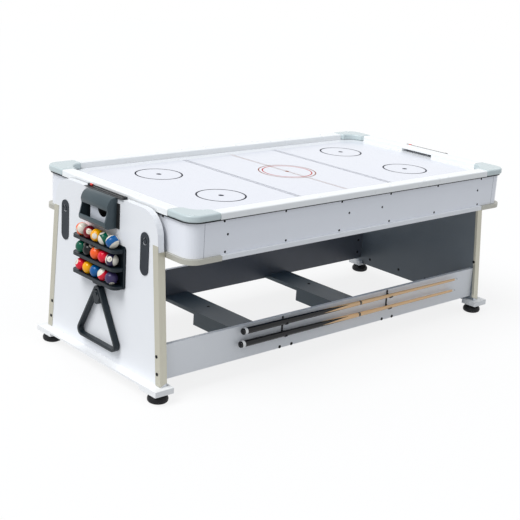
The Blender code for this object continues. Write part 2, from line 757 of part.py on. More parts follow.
def side_plates():
    plates = []
    for b in ENDS.values():
        y0, y1 = sorted((b * (POOL_RAIL_Y + GLUE_DEPTH), b * (HALF_WIDTH - SIDE_PLATE_INSET)))
        plates.append(block((-SIDE_PLATE_HALF_LENGTH, y0, POOL_RAIL_BOTTOM - SIDE_PLATE_THICKNESS),
                            (SIDE_PLATE_HALF_LENGTH, y1, POOL_RAIL_BOTTOM + SIDE_PLATE_SINK)))
    return plates


def corner_castings():
    outline = corner_outline(CASTING_LEG_LENGTH, CASTING_LEG_WIDTH, POOL_RAIL_BAND,
                             CASTING_PROUD)
    outline.append((POOL_RAIL_X, POOL_RAIL_Y))
    low = POOL_RAIL_BOTTOM - CASTING_DROP
    for name, a, b in corner_names():
        pocket = prism(circle((a * POCKET_X, b * POCKET_Y), CORNER_POCKET_RADIUS),
                       low - OVERRUN, BED_Z, "Z")
        plate = prism(mirrored(outline, a, b), low, POOL_Z - CLEARANCE, "Z")
        make(name + "_corner_casting", CHAMPAGNE_METAL, [plate], top, cuts=[pocket])


def cushion(along_low, along_high, rail_face, sign, axis):
    """A cushion whose ends slope back from the rail to its nose, sunk a little in the rail."""
    nose_z = BED_Z - CUSHION_NOSE_HEIGHT
    depths = ((-GLUE_DEPTH, POOL_RAIL_BOTTOM + CUSHION_RAIL_SETBACK),
              (CUSHION_DEPTH, nose_z),
              (CUSHION_DEPTH, nose_z + CUSHION_NOSE),
              (-GLUE_DEPTH, BED_Z - CUSHION_BED_GAP))
    sections = []
    for end, inward in ((along_low, 1), (along_high, -1)):
        section = []
        for depth, z in depths:
            along = end + inward * depth * CUSHION_SLOPE_SHARE
            across = sign * (rail_face - depth)
            section.append((along, across, z) if axis == "X" else (across, along, z))
        sections.append(section)
    return swept(sections)


def cushions():
    bodies = []
    rails = rail_halves(CASTING_LEG_LENGTH, CASTING_LEG_WIDTH)
    long_half, short_half = (half - CUSHION_END_INSET for half in rails)
    for sign in ENDS.values():
        bodies.append(cushion(SIDE_CUSHION_GAP, long_half, POOL_RAIL_Y, sign, "X"))
        bodies.append(cushion(-long_half, -SIDE_CUSHION_GAP, POOL_RAIL_Y, sign, "X"))
    for sign in SIDES.values():
        bodies.append(cushion(-short_half, short_half, POOL_RAIL_X, sign, "Y"))
    return bodies


# Pivot shafts and bearings
def pivot_shafts():
    """On each end a steel channel with the shaft, whose two thick ends are what the pins lock.

    A lock pin slides under each end of the channel, so that neither end can go down. It is as
    high above the pivot as below it, so both playing sides lock.
    """
    tip = LEG_OUTER_X - PIVOT_END_SETBACK
    start = SIDE_X + CLEARANCE
    plate_face = start + PIVOT_PLATE_THICKNESS
    flange = start + SHAFT_FLANGE_THICKNESS
    shaft = [(0, start + PIVOT_PLATE_THICKNESS / 2),
             (SHAFT_FLANGE_RADIUS, start + PIVOT_PLATE_THICKNESS / 2),
             (SHAFT_FLANGE_RADIUS, flange), (SHAFT_RADIUS, flange), (SHAFT_RADIUS, tip), (0, tip)]
    far = HALF_LENGTH - STRIKER_SETBACK
    inner, outer = (LOCK_PLATE_Y + side * STRIKER_HALF_WIDTH for side in (-1, 1))
    half = [(start, outer), (far, outer), (far, inner), (plate_face, inner)]
    outline = half + mirrored(half, 1, -1)[::-1]
    reach = LOCK_PIN_DROP - LOCK_PIN_RADIUS - STRIKER_PLAY
    for side, sign in SIDES.items():
        plate = prism(mirrored(outline, sign, 1), PIVOT_Z - reach, PIVOT_Z + reach, "Z")
        make(side + "_pivot_shaft", BRIGHT_STEEL, [plate], top,
             joined=[turned(shaft, (0, 0, PIVOT_Z), "X", PIVOT_SIDES, direction=sign)])


def pivot_bearings():
    inner = SHAFT_RADIUS + CLEARANCE
    outer = inner + BEARING_WALL
    near = LEG_INNER_X - CLEARANCE
    tip = LEG_OUTER_X - PIVOT_END_SETBACK
    profile = [(inner, near - BEARING_FLANGE_THICKNESS), (inner, tip), (outer, tip), (outer, near),
               (outer + BEARING_FLANGE, near),
               (outer + BEARING_FLANGE, near - BEARING_FLANGE_THICKNESS)]
    for side, sign in SIDES.items():
        make(side + "_pivot_bearing", BLACK_STEEL,
             [turned(profile, (0, 0, PIVOT_Z), "X", PIVOT_SIDES, direction=sign)], stand)


# End legs
def leg_outline():
    """Outside of a leg panel, as (y, z), round shoulders above and a tongue below."""
    shoulder_z = LEG_TOP - LEG_SHOULDER_RADIUS
    centre = (leg_edge(shoulder_z) - LEG_SHOULDER_RADIUS, shoulder_z)
    rest = BASE_TOP + CLEARANCE
    half = [(LEG_TONGUE_HALF - CLEARANCE, BASE_TOP - LEG_TONGUE_DROP),
            (LEG_TONGUE_HALF - CLEARANCE, rest), (leg_edge(rest), rest)]
    half += arc(centre, LEG_SHOULDER_RADIUS, 0, 90, 8)
    return half + mirrored(half, -1, 1)[::-1]


def leg_panels():
    for side, sign in SIDES.items():
        bearing = SHAFT_RADIUS + CLEARANCE + BEARING_WALL + CLEARANCE
        inner, outer = LEG_INNER_X - OVERRUN, LEG_OUTER_X + OVERRUN
        low, high = sorted((sign * inner, sign * outer))
        cuts = [prism(circle((0, PIVOT_Z), bearing, PIVOT_SIDES), low, high, "X"),
                side_block(sign, inner, outer, (-PUCK_NOTCH_HALF, LEG_TOP - PUCK_NOTCH_DEPTH),
                           (PUCK_NOTCH_HALF, LEG_TOP + OVERRUN))]
        pocket = LEG_OUTER_X - LOCK_RECESS_DEPTH
        profile = [(0, inner), (LOCK_PIN_RADIUS + CLEARANCE, inner),
                   (LOCK_PIN_RADIUS + CLEARANCE, pocket), (LOCK_RECESS_RADIUS, pocket),
                   (LOCK_RECESS_RADIUS, outer), (0, outer)]
        for b in ENDS.values():
            centre = (0, b * LOCK_PLATE_Y, LOCK_PIN_Z)
            cuts.append(turned(profile, centre, "X", direction=sign))
        low, high = sorted((sign * LEG_INNER_X, sign * LEG_OUTER_X))
        make(side + "_leg_panel", WHITE_BOARD, [prism(leg_outline(), low, high, "X")], stand,
             cuts=cuts)


def trim(sign, end):
    """A channel over a leg's sloping edge, cut slanting at its foot."""
    out_face, in_face = LEG_OUTER_X + CLEARANCE, LEG_INNER_X - CLEARANCE
    skin = CLEARANCE + TRIM_SHEET
    section = [(out_face, -TRIM_FACET), (out_face + TRIM_SHEET, -TRIM_FACET),
               (out_face + TRIM_SHEET, skin), (in_face - TRIM_SHEET, skin),
               (in_face - TRIM_SHEET, -TRIM_FLANGE), (in_face, -TRIM_FLANGE),
               (in_face, CLEARANCE), (out_face, CLEARANCE)]
    levels = []
    for z_outer, slant in ((BASE_TOP + TRIM_BOTTOM_GAP, TRIM_BOTTOM_SLANT),
                           (LEG_WAIST_Z, 0)):
        level = []
        for x, offset in section:
            z = z_outer + slant * (out_face - x) / LEG_THICKNESS
            level.append((sign * x, end * (leg_edge(z) + offset), z))
        levels.append(level)
    return swept(levels)


def trims():
    """The outer strip of each trim stands a step higher than its front and its flange."""
    for name, a, b in corner_names():
        y0, y1 = sorted((0, b * HALF_WIDTH))
        step = side_block(a, SIDE_X, LEG_OUTER_X + CLEARANCE, (y0, LEG_WAIST_Z - TRIM_TOP_STEP),
                          (y1, LEG_WAIST_Z + OVERRUN))
        make(name + "_trim", CHAMPAGNE_METAL, [trim(a, b)], stand, cuts=[step])


def base_boards():
    inner, outer = LEG_INNER_X - BASE_REACH_IN, LEG_OUTER_X + BASE_REACH_OUT
    notch = LEG_OUTER_X + CLEARANCE
    radius = BASE_CORNER_RADIUS
    half = [(notch, LEG_TONGUE_HALF), (inner, LEG_TONGUE_HALF)]
    half += arc((inner + radius, BASE_HALF_LENGTH - radius), radius, 180, 90, 4)
    half += arc((outer - radius, BASE_HALF_LENGTH - radius), radius, 90, 0, 4)
    outline = half + mirrored(half, 1, -1)[::-1]
    for side, sign in SIDES.items():
        board = prism(mirrored(outline, sign, 1), BASE_BOTTOM, BASE_TOP, "Z")
        cuts = [side_block(sign, inner - OVERRUN, outer + OVERRUN,
                           (-BASE_RELIEF_HALF, BASE_BOTTOM - OVERRUN),
                           (BASE_RELIEF_HALF, BASE_TOP - BASE_RELIEF_THICKNESS))]
        for b in ENDS.values():
            hole = circle(foot_place(sign, b), FOOT_STUD_RADIUS + CLEARANCE)
            top_of_hole = BASE_BOTTOM + FOOT_STUD_LENGTH + CLEARANCE
            cuts.append(prism(hole, BASE_BOTTOM - OVERRUN, top_of_hole, "Z"))
        make(side + "_base_board", WHITE_BOARD, [board], stand, cuts=cuts)


def foot_place(a, b):
    outer = LEG_OUTER_X + BASE_REACH_OUT
    return a * (outer - FOOT_INSET), b * (BASE_HALF_LENGTH - FOOT_INSET)


def feet():
    height = BASE_BOTTOM - CLEARANCE
    profile = [(0, 0)] + [(FOOT_RADIUS * r, height * z) for r, z in FOOT_PROFILE_SHARES]
    profile += [(FOOT_STUD_RADIUS, height), (FOOT_STUD_RADIUS, height + FOOT_STUD_LENGTH),
                (0, height + FOOT_STUD_LENGTH)]
    for name, a, b in corner_names():
        centre = (*foot_place(a, b), 0)
        axis = pivot_point(name + "_foot_axis", centre, stand)
        make(name + "_foot", BLACK_PLASTIC, [turned(profile, centre, "Z")], axis)


# Locks that hold the cabinet level
def lock_plates():
    half = LOCK_PLATE_WIDTH / 2
    middle_z = LOCK_PIN_Z + LOCK_PLATE_OVER_PIN - LOCK_PLATE_LENGTH / 2
    near = LEG_OUTER_X + CLEARANCE
    for name, sign, b in corner_names():
        y = b * LOCK_PLATE_Y
        outline = rounded_rectangle(half, LOCK_PLATE_LENGTH / 2, half, 6, (y, middle_z))
        low, high = sorted((sign * near, sign * (near + LOCK_PLATE_THICKNESS)))
        recess = prism(circle((y, LOCK_PIN_Z), LOCK_RECESS_RADIUS), low - OVERRUN, high + OVERRUN, "X")
        make(name + "_lock_plate", BLACK_PLASTIC, [prism(outline, low, high, "X")], stand, cuts=[recess])


def lock_pins():
    tip = LEG_INNER_X + LOCK_PIN_SETBACK
    face = LEG_OUTER_X + LOCK_PLATE_THICKNESS
    back = face - LOCK_KNOB_LENGTH
    profile = [(0, tip), (LOCK_PIN_RADIUS, tip), (LOCK_PIN_RADIUS, back), (LOCK_KNOB_RADIUS, back),
               (LOCK_KNOB_RADIUS, face), (0, face)]
    for name, sign, b in corner_names():
        centre = (0, b * LOCK_PLATE_Y, LOCK_PIN_Z)
        axis = pivot_point(name + "_lock_axis", centre, stand)
        make(name + "_lock_pin", BRIGHT_STEEL, [turned(profile, centre, "X", direction=sign)], axis)


# Stretchers and beams
def stretchers():
    """Both boards of one size; the front one is white and the back one dark grey."""
    half = LEG_INNER_X - CLEARANCE
    for (end, sign), material in zip(ENDS.items(), (WHITE_BOARD, GREY_BOARD)):
        y0, y1 = sorted((sign * (STRETCHER_FACE_Y - STRETCHER_THICKNESS), sign * STRETCHER_FACE_Y))
        board = block((-half, y0, STRETCHER_BOTTOM), (half, y1, STRETCHER_BOTTOM + STRETCHER_HEIGHT))
        make(end + "_stretcher", material, [board], stand)


def cross_beams():
    """A flat beam between the stretchers, with a rib standing under one edge."""
    half_y = STRETCHER_FACE_Y - STRETCHER_THICKNESS - CLEARANCE
    for side, sign in SIDES.items():
        left = sign * BEAM_X - BEAM_WIDTH / 2
        board = block((left, -half_y, STRETCHER_BOTTOM),
                      (left + BEAM_WIDTH, half_y, STRETCHER_BOTTOM + BEAM_THICKNESS))
        rib = block((left + RIB_SETBACK, -RIB_HALF_LENGTH, STRETCHER_BOTTOM - RIB_HEIGHT),
                    (left + RIB_SETBACK + RIB_THICKNESS, RIB_HALF_LENGTH, STRETCHER_BOTTOM + GLUE_DEPTH))
        make(side + "_cross_beam", GREY_BOARD, [board], stand, joined=[rib])


# Cues and clips
def clip_outline():
    """Side view of a clip, as (y, z): a strip with two hooks, seen from the left end."""
    back = -(STRETCHER_FACE_Y + CLEARANCE)
    front = back - CLIP_SHEET
    outline = [(back, CUE_SEATS[-1] - CLIP_SHEET - CLIP_BOTTOM_DROP), (back, CLIP_TOP),
               (front, CLIP_TOP)]
    for seat in CUE_SEATS:
        centre = (-CUE_Y, seat + HOOK_RADIUS)
        outline.append((front, centre[1]))
        outline += arc(centre, HOOK_RADIUS, 0, -180 + lip_angle(), 8)
        outline += arc(centre, HOOK_RADIUS + CLIP_SHEET, -180 + lip_angle(), -90, 5)
        outline.append((front, seat - CLIP_SHEET))
    outline.append((front, CUE_SEATS[-1] - CLIP_SHEET - CLIP_BOTTOM_DROP))
    return outline


def lip_angle():
    """Angle below level, in degrees, at which a hook's front lip ends."""
    return math.degrees(math.asin((HOOK_RADIUS - HOOK_LIP) / HOOK_RADIUS))


def cue_clips():
    for side, x in zip(SIDES, CLIP_PLACES):
        clip = prism(clip_outline(), x - CLIP_WIDTH / 2, x + CLIP_WIDTH / 2, "X")
        make(side + "_cue_clip", BLACK_STEEL, [clip], stand)


def cues():
    """Tapered rods whose lowest line is level, because both lie in hooks of one height."""
    for name, seat, butt in zip(("upper_cue", "lower_cue"), CUE_SEATS, CUE_BUTT_ENDS):
        stations = [(butt, CUE_BUTT_RADIUS - CUE_BUMPER / 2, CUE_BUTT_RADIUS),
                    (butt + CUE_BUMPER, CUE_BUTT_RADIUS, CUE_BUTT_RADIUS),
                    (butt + CUE_LENGTH, CUE_TIP_RADIUS, CUE_TIP_RADIUS)]
        sections = []
        for x, radius, rise in stations:
            centre = (-CUE_Y, seat + CLEARANCE + rise)
            sections.append([(x, y, z) for y, z in circle(centre, radius, SMALL_SIDES)])
        axis = pivot_point(name + "_axis", (butt, -CUE_Y, seat + CUE_BUTT_RADIUS), stand)
        make(name, CUE_MAPLE, [swept(sections)], axis)


# Goal boxes and score bars
def goal_profile(reach, height, low_z):
    """Side view of a goal box as (reach, z): a round hood over a mouth and a catch tray."""
    return [(reach * r, low_z + height * h) for r, h in GOAL_PROFILE_SHARES]


def goal_boxes():
    start = LEG_OUTER_X + CLEARANCE
    outer = [(0, GOAL_BOTTOM + GOAL_HEIGHT)] + goal_profile(GOAL_REACH, GOAL_HEIGHT, GOAL_BOTTOM)
    outer += [(0, GOAL_BOTTOM)]
    inner_low = GOAL_BOTTOM + GOAL_WALL
    inner_height = GOAL_HEIGHT - 2 * GOAL_WALL
    inner = [(-OVERRUN, inner_low + inner_height)]
    inner += goal_profile(GOAL_REACH - GOAL_WALL, inner_height, inner_low) + [(-OVERRUN, inner_low)]
    low, high = GOAL_BOTTOM + GOAL_WINDOW_BOTTOM, GOAL_BOTTOM + GOAL_WINDOW_TOP
    round_window = arc((GOAL_ROUND_WINDOW_Y, high), GOAL_ROUND_WINDOW_RADIUS, 180, 360, 12)
    for side, sign in SIDES.items():
        body = prism([(sign * (start + r), z) for r, z in outer], -GOAL_HALF_WIDTH, GOAL_HALF_WIDTH, "Y")
        plate = side_block(sign, start, start + GOAL_PLATE_THICKNESS,
                           (-GOAL_PLATE_HALF_WIDTH, GOAL_BOTTOM + GOAL_WALL / 2),
                           (GOAL_PLATE_HALF_WIDTH, GOAL_BOTTOM + GOAL_PLATE_HEIGHT))
        hollow = prism([(sign * (start + r), z) for r, z in inner],
                       GOAL_WALL - GOAL_HALF_WIDTH, GOAL_HALF_WIDTH - GOAL_WALL, "Y")
        ends = sorted((sign * (start + GOAL_REACH / 2), sign * (start + GOAL_REACH + OVERRUN)))
        square = block((ends[0], GOAL_SQUARE_WINDOW[0], low), (ends[1], GOAL_SQUARE_WINDOW[1], high))
        piece = make(side + "_goal_box", BLACK_PLASTIC, [body], stand, cuts=[hollow])
        combine(piece, [plate], "UNION")
        combine(piece, [square, prism(round_window, *ends, "X")], "DIFFERENCE")
        strip, posts, rod = score_bar(sign)
        combine(piece, [strip], "UNION")
        combine(piece, posts, "UNION")
        combine(piece, [rod], "UNION")


def score_rod_place():
    """Distance of the score rod from the table's centre, and its height."""
    return (LEG_INNER_X + LEG_OUTER_X) / 2, LEG_TOP + CLEARANCE + SCORE_ROD_RISE


def score_bar(sign):
    """A strip along the leg's top edge, two posts and the rod between them."""
    middle, rod_z = score_rod_place()
    low = LEG_TOP + CLEARANCE
    half = SCORE_STRIP_WIDTH / 2
    strip = side_block(sign, middle - half, LEG_OUTER_X + SCORE_STRIP_LAP,
                       (-SCORE_HALF_LENGTH, low), (SCORE_HALF_LENGTH, low + SCORE_STRIP_THICKNESS))
    posts = []
    for b in ENDS.values():
        y0, y1 = sorted((b * (SCORE_HALF_LENGTH - SCORE_POST_LENGTH), b * (SCORE_HALF_LENGTH - SCORE_LIP)))
        posts.append(side_block(sign, middle - half + SCORE_LIP, middle + half - SCORE_LIP,
                                (y0, low + SCORE_STRIP_THICKNESS / 2), (y1, low + SCORE_POST_HEIGHT)))
    reach = SCORE_HALF_LENGTH - SCORE_POST_LENGTH / 2
    rod = prism(circle((sign * middle, rod_z), SCORE_ROD_RADIUS, SMALL_SIDES), -reach, reach, "Y")
    return strip, posts, rod


def score_beads():
    middle, rod_z = score_rod_place()
    inner = SCORE_ROD_RADIUS + CLEARANCE
    profile = [(inner, 0), (SCORE_BEAD_RADIUS, 0), (SCORE_BEAD_RADIUS, SCORE_BEAD_LENGTH),
               (inner, SCORE_BEAD_LENGTH)]
    start_y = SCORE_HALF_LENGTH - SCORE_POST_LENGTH - CLEARANCE
    for side, sign in SIDES.items():
        start = (sign * middle, start_y, rod_z)
        axis = pivot_point(side + "_score_axis", start, stand)
        make(side + "_score_bead", RED_PLASTIC,
             [turned(profile, start, "Y", SMALL_SIDES, direction=-1)], axis)


# Ball rack, balls and triangle on the left leg
def tier_heights():
    """Height of the ball centres in the three tiers, from the top one down."""
    lowest = RACK_BOTTOM + LOW_TIER_RISE
    return [lowest + TIER_PITCH * step for step in (2, 1, 0)]


def ball_places():
    pitch = BALL_DIAMETER + BALL_GAP
    return [pitch * (i - (BALLS_IN_TIER - 1) / 2) for i in range(BALLS_IN_TIER)]


def ball_rack():
    near = LEG_OUTER_X + CLEARANCE
    face = near + RACK_SHEET
    tip = BALL_X + TRAY_OVERREACH
    plate_middle = RACK_BOTTOM + RACK_HEIGHT / 2
    plate = prism(rounded_rectangle(RACK_HALF_WIDTH, RACK_HEIGHT / 2, RACK_CORNER_RADIUS, 4,
                                    (0, plate_middle)), -face, -near, "X")
    radius = TRAY_CORNER_RADIUS
    half = [(-(near + RACK_SHEET / 2), TRAY_HALF_WIDTH)]
    half += arc((-(tip - radius), TRAY_HALF_WIDTH - radius), radius, 90, 180, 5)
    outline = half + mirrored(half, 1, -1)[::-1]
    trays = []
    holes = []
    for z in tier_heights():
        top_of_tray = z - TRAY_SINK - CLEARANCE
        trays.append(prism(outline, top_of_tray - TRAY_THICKNESS, top_of_tray, "Z"))
        for y in ball_places():
            hole = circle((-BALL_X, y), TRAY_HOLE_RADIUS, HOLE_SIDES)
            holes.append(prism(hole, top_of_tray - TRAY_THICKNESS - OVERRUN, top_of_tray + OVERRUN, "Z"))
    piece = make("ball_rack", BLACK_PLASTIC, [plate], stand, joined=trays, cuts=holes)
    hook_plate, peg, bracket = triangle_hook()
    combine(piece, [hook_plate], "UNION")
    combine(piece, [peg], "UNION")
    combine(piece, [bracket], "UNION")


def ball_mesh_body(centre):
    """A ball as rings of points between two poles, the lowest ring where it seats on its tray."""
    seat_angle = math.asin(TRAY_HOLE_RADIUS / BALL_RADIUS)
    step = (math.pi - 2 * seat_angle) / (BALL_RINGS - 1)
    profile = [(0, -BALL_RADIUS)]
    for i in range(BALL_RINGS):
        angle = seat_angle + step * i
        profile.append((BALL_RADIUS * math.sin(angle), -BALL_RADIUS * math.cos(angle)))
    profile.append((0, BALL_RADIUS))
    return turned(profile, centre, "Z", SMALL_SIDES)


def ball_tiers():
    """Each tier is five balls on a thin hidden link, because they lift off together."""
    for name, z in zip(("upper_balls", "middle_balls", "lower_balls"), tier_heights()):
        axis = pivot_point(name + "_axis", (-BALL_X, 0, z), stand)
        reach = ball_places()[-1]
        link_rod = prism(circle((-BALL_X, z), BALL_LINK_RADIUS, SMALL_SIDES), -reach, reach, "Y")
        balls = [ball_mesh_body((-BALL_X, y, z)) for y in ball_places()]
        make(name, BALL_RESIN, [link_rod], axis, joined=balls)


def triangle_base():
    """Height of the triangle's base line, which hangs just over the base board."""
    return BASE_TOP + TRIANGLE_FOOT_GAP


def triangle_vertex():
    """Height of the triangle's sharp upper corner, from its rounded apex under the rack."""
    return RACK_BOTTOM - TRIANGLE_APEX_DROP + TRIANGLE_CORNER_RADIUS


def triangle_x():
    """Near and far faces of the hanging triangle, as distances from the table's centre."""
    near = LEG_OUTER_X + CLEARANCE + RACK_SHEET + CLEARANCE
    return near, near + TRIANGLE_DEPTH


def ball_triangle():
    near, far = triangle_x()
    base = triangle_base()
    side = (triangle_vertex() - base) * 2 / math.sqrt(3)
    outer = triangle_outline(side, 0, TRIANGLE_CORNER_RADIUS, base)
    inner = triangle_outline(side, TRIANGLE_BAR, TRIANGLE_INNER_RADIUS, base)
    axis = pivot_point("triangle_axis", (-near, 0, inner_apex()), stand)
    make("ball_triangle", BLACK_PLASTIC, [prism(outer, -far, -near, "X")], axis,
         cuts=[prism(inner, -far - OVERRUN, -near + OVERRUN, "X")])


def inner_apex():
    """Height of the inside of the triangle's apex, which rests on the hook's peg."""
    return triangle_vertex() - 2 * TRIANGLE_BAR - TRIANGLE_INNER_RADIUS


def triangle_hook():
    """Plate, peg and bracket under the rack, from which the triangle hangs by its apex."""
    _, far = triangle_x()
    face = LEG_OUTER_X + CLEARANCE
    inside = face + RACK_SHEET / 2
    peg_z = inner_apex() - CLEARANCE - HOOK_PEG_RADIUS
    half = HOOK_PLATE_WIDTH / 2
    lap = RACK_BOTTOM + GLUE_DEPTH
    plate = prism([(-half, peg_z - HOOK_PLATE_FOOT), (half, peg_z - HOOK_PLATE_FOOT),
                   (half, lap), (-half, lap)], -(face + RACK_SHEET), -face, "X")
    peg = prism(circle((0, peg_z), HOOK_PEG_RADIUS), -(far + HOOK_PEG_OVERREACH), -inside, "X")
    foot = RACK_BOTTOM - HOOK_BRACKET_HEIGHT
    bracket = prism([(-HOOK_BRACKET_FOOT_HALF, foot), (HOOK_BRACKET_FOOT_HALF, foot),
                     (HOOK_BRACKET_TOP_HALF, lap), (-HOOK_BRACKET_TOP_HALF, lap)],
                    -(far - GLUE_DEPTH), -inside, "X")
    return plate, peg, bracket


# Blower, inlet and switch
def blower():
    """Fan housing inside the back apron, on one moulding with the inlet and switch plate."""
    open_end = INSIDE_Y - CLEARANCE
    floor = BLOWER_DEPTH - BLOWER_WALL
    motor = floor - MOTOR_LENGTH
    inner = BLOWER_RADIUS - BLOWER_WALL
    profile = [(0, BLOWER_DEPTH), (BLOWER_RADIUS, BLOWER_DEPTH), (BLOWER_RADIUS, 0), (inner, 0),
               (inner, floor), (MOTOR_RADIUS, floor), (MOTOR_RADIUS, motor), (0, motor)]
    centre = (BLOWER_X, open_end, CAVITY_Z)
    slot_y = open_end - floor + BLOWER_WALL
    outlet = block((BLOWER_X - MOTOR_RADIUS, slot_y, CAVITY_Z - BLOWER_RADIUS - OVERRUN),
                   (BLOWER_X + MOTOR_RADIUS, slot_y + MOTOR_RADIUS, CAVITY_Z - MOTOR_RADIUS - OVERRUN))
    piece = make("blower_housing", BLACK_PLASTIC, [turned(profile, centre, "Y", direction=-1)], top,
                 cuts=[outlet])
    bridge, plate, body, recesses, pins = inlet()
    combine(piece, [bridge], "UNION")
    combine(piece, [body], "UNION")
    combine(piece, [plate], "UNION")
    combine(piece, recesses, "DIFFERENCE")
    combine(piece, pins, "UNION")
    back = motor - CLEARANCE
    hub = [(0, back), (IMPELLER_RADIUS, back), (IMPELLER_RADIUS, back - IMPELLER_DISC),
           (IMPELLER_HUB, back - IMPELLER_DISC), (IMPELLER_HUB, back - IMPELLER_DEPTH),
           (0, back - IMPELLER_DEPTH)]
    low = open_end - back + IMPELLER_DISC / 2
    high = open_end - back + IMPELLER_DEPTH - IMPELLER_DISC
    blades = [blade(360 * i / BLADES, low, high) for i in range(BLADES)]
    axis = pivot_point("blower_axis", centre, top)
    make("blower_impeller", BRIGHT_STEEL, [turned(hub, centre, "Y", direction=-1)], axis, joined=blades)


def blade(angle, low, high):
    """A straight radial blade, kept just inside the impeller's rim and sunk in its hub."""
    turn = math.radians(angle)
    along = Vector((math.cos(turn), math.sin(turn)))
    across = Vector((-along.y, along.x)) * BLADE_THICKNESS / 2
    centre = Vector((BLOWER_X, CAVITY_Z))
    start = centre + along * IMPELLER_HUB * BLADE_ROOT_SHARE
    end = centre + along * (IMPELLER_RADIUS - BLADE_THICKNESS)
    outline = [start - across, end - across, end + across, start + across]
    return prism([tuple(point) for point in outline], low, high, "Y")


def inlet():
    """Power inlet and switch window: bridge to the fan, face plate, body, recesses and pins."""
    plate_x, _, plate_z = (size / 2 for size in INLET_PLATE)
    body_x, body_z = INLET_BODY[0] / 2, INLET_BODY[2] / 2
    face = SIDE_Y + CLEARANCE
    front = face + INLET_PLATE[1]
    inside = INSIDE_Y - CLEARANCE
    bridge = block((INLET_X + body_x - GLUE_DEPTH, inside - BLOWER_WALL, CAVITY_Z - body_z / 2),
                   (BLOWER_X - BLOWER_RADIUS + GLUE_DEPTH, inside, CAVITY_Z + body_z / 2))
    plate = block((INLET_X - plate_x, face, CAVITY_Z - plate_z),
                  (INLET_X + plate_x, front, CAVITY_Z + plate_z))
    body = block((INLET_X - body_x, front - INLET_BODY[1], CAVITY_Z - body_z),
                 (INLET_X + body_x, face + INLET_PLATE[1] / 2, CAVITY_Z + body_z))
    socket_x = INLET_X - SOCKET_OFFSET
    recesses = [centred_block(socket_x, front, SOCKET_OPENING),
                centred_block(INLET_X + ROCKER_OFFSET, front, ROCKER_WINDOW)]
    floor = front - SOCKET_OPENING[1]
    pins = [prism(circle((socket_x + side * SOCKET_PIN_SPACING / 2, CAVITY_Z - SOCKET_PIN_DROP),
                         SOCKET_PIN_RADIUS, HOLE_SIDES), floor - CLEARANCE,
                  floor + SOCKET_PIN_LENGTH, "Y")
            for side in (-1, 1)]
    return bridge, plate, body, recesses, pins


def rocker():
    """A switch rocker with a shallow vee face, at rest on its lower side."""
    front = SIDE_Y + CLEARANCE + INLET_PLATE[1]
    rocker_x = INLET_X + ROCKER_OFFSET
    pivot_y = front - ROCKER_WINDOW[1] + ROCKER_FOOT
    half_z = ROCKER_SIZE[2] / 2
    view = [(0, half_z), (ROCKER_SIZE[1], half_z), (ROCKER_SIZE[1] - ROCKER_RIDGE, 0),
            (ROCKER_SIZE[1], -half_z), (0, -half_z)]
    cos_tilt, sin_tilt = math.cos(ROCKER_TILT), math.sin(ROCKER_TILT)
    tilted = [(pivot_y + y * cos_tilt - z * sin_tilt, CAVITY_Z + y * sin_tilt + z * cos_tilt)
              for y, z in view]
    axis = pivot_point("rocker_axis", (rocker_x, pivot_y, CAVITY_Z), top)
    half_x = ROCKER_SIZE[0] / 2
    make("rocker_switch", RED_PLASTIC, [prism(tilted, rocker_x - half_x, rocker_x + half_x, "X")], axis)


def centred_block(x, front, size):
    """A recess of a given width, depth and height, open past the front face."""
    return block((x - size[0] / 2, front - size[1], CAVITY_Z - size[2] / 2),
                 (x + size[0] / 2, front + OVERRUN, CAVITY_Z + size[2] / 2))


hockey_rails()
corner_caps()
playfield()
aprons()
pool_bed()
pool_rails()
corner_castings()
pivot_shafts()
pivot_bearings()
leg_panels()
trims()
base_boards()
feet()
lock_plates()
lock_pins()
stretchers()
cross_beams()
cue_clips()
cues()
goal_boxes()
score_beads()
ball_rack()
ball_tiers()
ball_triangle()
blower()
rocker()
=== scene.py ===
# %% [markdown]
# A flip-over games table: air hockey on top, pool underneath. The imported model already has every
# board, leg and hook in its true place, so this lesson only dresses it. It sets the camera and the
# light first, then one finish after another, and last the small pieces that show up close.

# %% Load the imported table
import math

import bmesh
import bpy
from mathutils import Matrix, Vector


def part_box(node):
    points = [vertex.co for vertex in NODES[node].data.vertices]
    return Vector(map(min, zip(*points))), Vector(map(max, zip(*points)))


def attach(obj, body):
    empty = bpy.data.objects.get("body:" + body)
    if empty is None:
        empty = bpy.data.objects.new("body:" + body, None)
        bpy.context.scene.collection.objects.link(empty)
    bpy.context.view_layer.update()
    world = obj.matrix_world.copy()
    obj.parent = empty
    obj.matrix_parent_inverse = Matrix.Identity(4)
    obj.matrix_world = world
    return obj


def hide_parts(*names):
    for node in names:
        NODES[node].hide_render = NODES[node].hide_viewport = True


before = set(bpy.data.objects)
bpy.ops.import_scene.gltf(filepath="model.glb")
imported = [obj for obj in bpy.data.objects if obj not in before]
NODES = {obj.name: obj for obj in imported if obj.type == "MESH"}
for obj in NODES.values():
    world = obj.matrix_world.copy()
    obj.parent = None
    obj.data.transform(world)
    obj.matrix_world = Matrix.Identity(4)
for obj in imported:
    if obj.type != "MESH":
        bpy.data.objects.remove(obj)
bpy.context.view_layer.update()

# %% [markdown]
# The picture was taken from the front left, a little above the playing field, with the camera
# turned slightly. A camera's axes can be written as three vectors, so the view is built from two
# angles and the turn. The focal length is given in pixels of a picture 520 pixels wide.

# %% Camera
PICTURE_WIDTH = 520
FOCAL_PIXELS = 1087.0
SENSOR_WIDTH = 36.0
CLIP_END = 60.0
CAMERA_PLACE = Vector((-3.557, -3.728, 1.908))
LOOK_AZIMUTH, LOOK_DOWN, LOOK_TURN = (math.radians(angle) for angle in (42.51, 17.0, -3.68))


def added(name, data):
    """A new object, linked to the scene."""
    thing = bpy.data.objects.new(name, data)
    bpy.context.scene.collection.objects.link(thing)
    return thing


